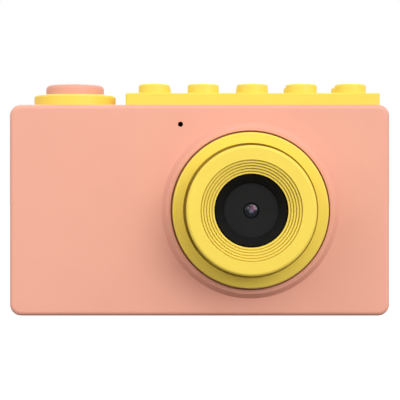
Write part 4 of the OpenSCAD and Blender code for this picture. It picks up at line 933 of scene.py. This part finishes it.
def keypad():
    """Silicone sheet with a dome under each key."""
    low, high = box_mm("silicone_keypad")
    sheet_t, dome_r, face_r, roof = 0.5, 2.2, 1.6, 0.3
    spots = {"ok_key": (KEYS_X, KEYS_Z), **SMALL_KEYS}
    for node, turn in DIRECTION_KEYS.items():
        a = radians(turn)
        spots[node] = (KEYS_X - SECTOR_MID * sin(a), KEYS_Z + SECTOR_MID * cos(a))
    sheet = join(block((low.x, PCB_BACK, 5.2), (high.x, PCB_BACK + sheet_t, 31)),
                 block((KEYS_X + 9.2, PCB_BACK, 30.5), (high.x - 0.05, PCB_BACK + sheet_t, 42)))
    below = PCB_BACK - 1
    cut(sheet, *posts(spots.values(), dome_r, below, 19), *posts([(PIPE_X, PIPE_Z)], 2, below, 19),
        *posts(CASE_SCREWS, 3.4, below, 19))
    stand_in(sheet, "silicone_keypad", silicone)
    profile = [(dome_r, PCB_BACK), (dome_r, PCB_BACK + sheet_t, 0.1), (face_r, DOME_TOP, 0.2), (0, DOME_TOP),
               (0, DOME_TOP - roof), (1.2, DOME_TOP - roof), (1.75, PCB_BACK + 0.3), (1.75, PCB_BACK)]
    for node, (x, z) in spots.items():
        dome = lathe(rounded(profile, 4), place(x, 0, z, BACKWARD), 48)
        publish(dome, node + "_dome", silicone, "casing")
        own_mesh(dome)


# ------------ sides


def port_cover():
    """Rubber flap with grip lines, a knuckle round the hinge pin and a plug for the socket."""
    low, high = box_mm("port_cover")
    face, middle_y, width = high.x, (low.y + high.y) / 2 - FRONT, high.y - low.y
    hinge = place(HINGE_X, middle_y, HINGE_Z, BACKWARD)
    flap = stack(rect_loop(high.z - HINGE_Z, width, 0.5, 6), rim(face - 1.3, face, 0.4, 0.1),
                 place(0, middle_y, (HINGE_Z + high.z) / 2, RIGHTWARD))
    for k in range(3):
        line = place(face - 0.02, middle_y, high.z - 1.6 - 0.9 * k, BACKWARD)
        cut(flap, cylinder(0.25, -width, width, line, 20))
    knuckle = cylinder(1.05, -width / 2, width / 2, hinge, 48)
    plug = stack(rect_loop(6.4, 1.8, 0.5, 4), rim(0.9, face - low.x, 0.25),
                 place(face, USB_Y, USB_Z, LEFTWARD))
    join(flap, knuckle, plug)
    cut(flap, cylinder(HINGE_PIN_R + 0.05, -width, width, hinge, 40))
    stand_in(flap, "port_cover", rubber, "port_cover")


def memory_card():
    """Card with its notch, its ridge for a fingernail and eight gold contacts."""
    low, high = box_mm("memory_card")
    front, mid_z, half, length = low.y - FRONT, (low.z + high.z) / 2, (high.z - low.z) / 2, high.x - low.x
    card_t, notch, cut_corner = 0.7, 0.9, 0.6
    outline = [(length, half, 0.5), (length, -half, 0.5), (8, -half, 0.2), (6.6, -half + notch, 0.2),
               (0, -half + notch, 0.4), (0, half - cut_corner, 0.2), (cut_corner, half, 0.2)]
    card = prism(rounded(outline, 4), 0, card_t, place(low.x, front, mid_z, BACKWARD))
    ridge = stack(rect_loop(1.4, 2 * half - 0.3, 0.3, 4), rim(0.3, high.y - low.y, 0.15),
                  place(high.x - 0.7, front, mid_z, BACKWARD))
    stand_in(join(card, ridge), "memory_card", card_black, "memory_card")
    contact_w, contact_h, pitch, raised = 2.6, 0.7, 0.9, 0.03
    outline = rect_loop(contact_w, contact_h, 0.15, 3)
    for k in range(8):
        spot = place(low.x + 2.2, front + card_t - 0.01, mid_z + pitch * (k - 4) + 0.2, BACKWARD)
        pad = prism(outline(0), 0, raised, spot)
        publish(pad, f"card_contact_{k}", contact_gold, "memory_card")


def strap_cup():
    """Cup behind the strap bar, with a rounded mouth and a flange against the side wall."""
    low, high = box_mm("strap_cup")
    depth, wall, flange = high.x - low.x, 1, 0.8
    y, z = (low.y + high.y) / 2 - FRONT, (low.z + high.z) / 2
    spot = place(high.x, y, z, LEFTWARD)
    cup = stack(rect_loop(STRAP_H, STRAP_W, 0.6, 6), rim(0.5, depth, 0.2), spot)
    outline = rect_loop(STRAP_H + 2 * flange, STRAP_W + 2 * flange, 0.6, 6)
    join(cup, prism(outline(0), 0, high.x + SIDE - WALL, spot))
    room = rect_loop(STRAP_H - 2 * wall, STRAP_W - 2 * wall, 0.5, 6)
    bar_r, bar_half = 0.9, STRAP_H / 2 - 0.3
    cut(cup, stack(room, soft_hole(wall, depth, 0.25), spot),
        cylinder(bar_r, -bar_half, bar_half, place(-SIDE + 1.5, y, z), 40))
    stand_in(cup, "strap_cup", pink)


# ------------ screws


def screw_head(r, h, spot):
    """Pan head with a cross recess, its underside at 0."""
    slot, length = 0.22, r * 1.15
    head = lathe(rounded([(0, h), (r, h, h * 0.6), (r, 0, 0.06), (0, 0)]), spot, 64)
    for turn in (0, 90):
        spin = Matrix.Rotation(radians(turn), 4, "Z")
        levels = [(slot * 0.6, h * 0.35), (0, h * 1.2)]
        cut(head, stack(rect_loop(length, 2 * slot, 0.05, 2), levels, spot @ spin))
    return head


def screw_shank(radius, length, pitch, spot):
    """Shank below 0 with a rolled thread and a tapered tip."""
    sides, per_turn, core, run_in, tip = 28, 8, 0.8, 0.6, 1.2
    count = int(length / pitch * per_turn)
    bm = bmesh.new()
    rows = []
    for k in range(count + 1):
        depth = k * length / count
        taper = min(1.0, (length - depth) / tip + 0.25)
        row = []
        for s in range(sides):
            a = 2 * pi * s / sides
            phase = (depth / pitch + s / sides) % 1
            ridge = max(0.0, 1 - abs(phase - 0.5) * 4) * min(1.0, depth / run_in)
            r = radius * (core + (1 - core) * ridge) * taper
            row.append(bm.verts.new((r * cos(a), r * sin(a), 0.02 - depth)))
        rows.append(row)
    skin(bm, rows)
    return shape(bm, spot)


def screw_set(node, shank_r, head_r, head_h, pitch, seat, length, places, turn=BACKWARD):
    """Screws of one kind, as one piece, with the undersides of their heads at the depth seat."""
    bm = bmesh.new()
    for x, z in places:
        spot = place(x, seat, z, turn)
        part = join(screw_head(head_r, head_h, spot), screw_shank(shank_r, length, pitch, spot))
        bm.from_mesh(part.data)
        bpy.data.objects.remove(part)
    stand_in(shape(bm), node, steel)


# ------------ the camera, piece by piece

front_cover()
rear_cover()
outer_ring()
front_ring()
hood_and_mask()
front_element()
top_rail()
shutter_collar()
shutter_button()
shutter_spring()
screen()
rear_lens()
round_keys()
small_keys()
keypad()
port_cover()
memory_card()
strap_cup()
screw_set("case_screws", CASE_SHANK, 1.9, 1.3, 0.6, SCREW_SEAT, SCREW_SEAT - SCREW_TIP, CASE_SCREWS)
screw_set("lens_retainer_screws", RETAINER_SHANK, 1.3, 0.8, 0.45, 4.4, 3.4, RETAINER_SCREWS)
screw_set("bracket_screws", BOARD_SHANK, 1.4, 0.9, 0.5, 7.2, 4.4, BRACKET_SCREWS)
screw_set("board_screws", BOARD_SHANK, 1.4, 0.9, 0.5, 15.4, 4, BOARD_SCREWS, FORWARD)

# ------------ view, lights and floor

ROOM_LIGHT = 0.85  # what the white room adds to the lamps
LAMPS_AIM = Vector((0.005, 0, 0.023))


def view():
    """The photo's viewpoint: level, and square to the front face."""
    data = bpy.data.cameras.new("view")
    data.lens, data.sensor_width = 144, 36
    data.shift_x, data.shift_y = -0.025, -0.0125
    data.clip_start, data.clip_end = 0.01, 10
    camera = add_object("camera", data)
    camera.location = Vector((2.32, FRONT - 353.5, 26.7)) * MM
    camera.rotation_euler = (radians(90), 0, 0)
    scene.camera = camera
    scene.view_settings.view_transform = "Standard"


def seen_as(tree, socket, bright, dim):
    """Sets a strength that is bright where it is looked at, and dim where it lights the object."""
    looked_at = tree.nodes.new("ShaderNodeLightPath").outputs["Is Camera Ray"]
    strength = tree.nodes.new("ShaderNodeMapRange")
    strength.inputs["To Min"].default_value = dim
    strength.inputs["To Max"].default_value = bright
    tree.links.new(looked_at, strength.inputs["Value"])
    tree.links.new(strength.outputs["Result"], socket)


def white_room():
    world = bpy.data.worlds.new("studio")
    world.use_nodes = True
    backdrop = world.node_tree.nodes["Background"]
    backdrop.inputs["Color"].default_value = (1, 1, 1, 1)
    seen_as(world.node_tree, backdrop.inputs["Strength"], 1.0, ROOM_LIGHT)
    scene.world = world


def lamp(name, azimuth, elevation, distance, size, power):
    """A square soft box that faces the object. Azimuth 0 is in front, and 90 is on the right."""
    turn, rise = radians(azimuth), radians(elevation)
    away = Vector((sin(turn) * cos(rise), -cos(turn) * cos(rise), sin(rise)))
    light = bpy.data.lights.new(name, "AREA")
    light.shape, light.energy = "RECTANGLE", power
    light.size, light.size_y = size, size
    obj = add_object(name, light)
    obj.location = LAMPS_AIM + away * distance
    obj.rotation_euler = away.to_track_quat("Z", "Y").to_euler()


def pale_floor():
    """A wide floor just below the base, which looks white and lights nothing."""
    bm = bmesh.new()
    bmesh.ops.create_grid(bm, x_segments=1, y_segments=1, size=4)
    floor = shape(bm)
    floor.name = "floor"
    floor.location.z = -0.00002
    finish = Finish("pale_floor", (0.25, 0.25, 0.25, 1), 0.9, Emission_Color=(1, 1, 1, 1),
                    Specular_IOR_Level=0.0)
    finish.tone(60, 0.004)
    seen_as(finish.tree, finish.shader.inputs["Emission Strength"], 0.97, 0.0)
    floor.data.materials.append(finish.material)


view()
white_room()
lamp("right", 34, 20, 1.5, 0.8, 10.2)
lamp("left", -48, 28, 0.42, 0.26, 0.34)
lamp("top", 12, 41, 1.5, 0.8, 3.5)
lamp("back", 180, 35, 1.5, 0.8, 7)
lamp("glint", -17, 15, 0.6, 0.07, 0.12)
pale_floor()
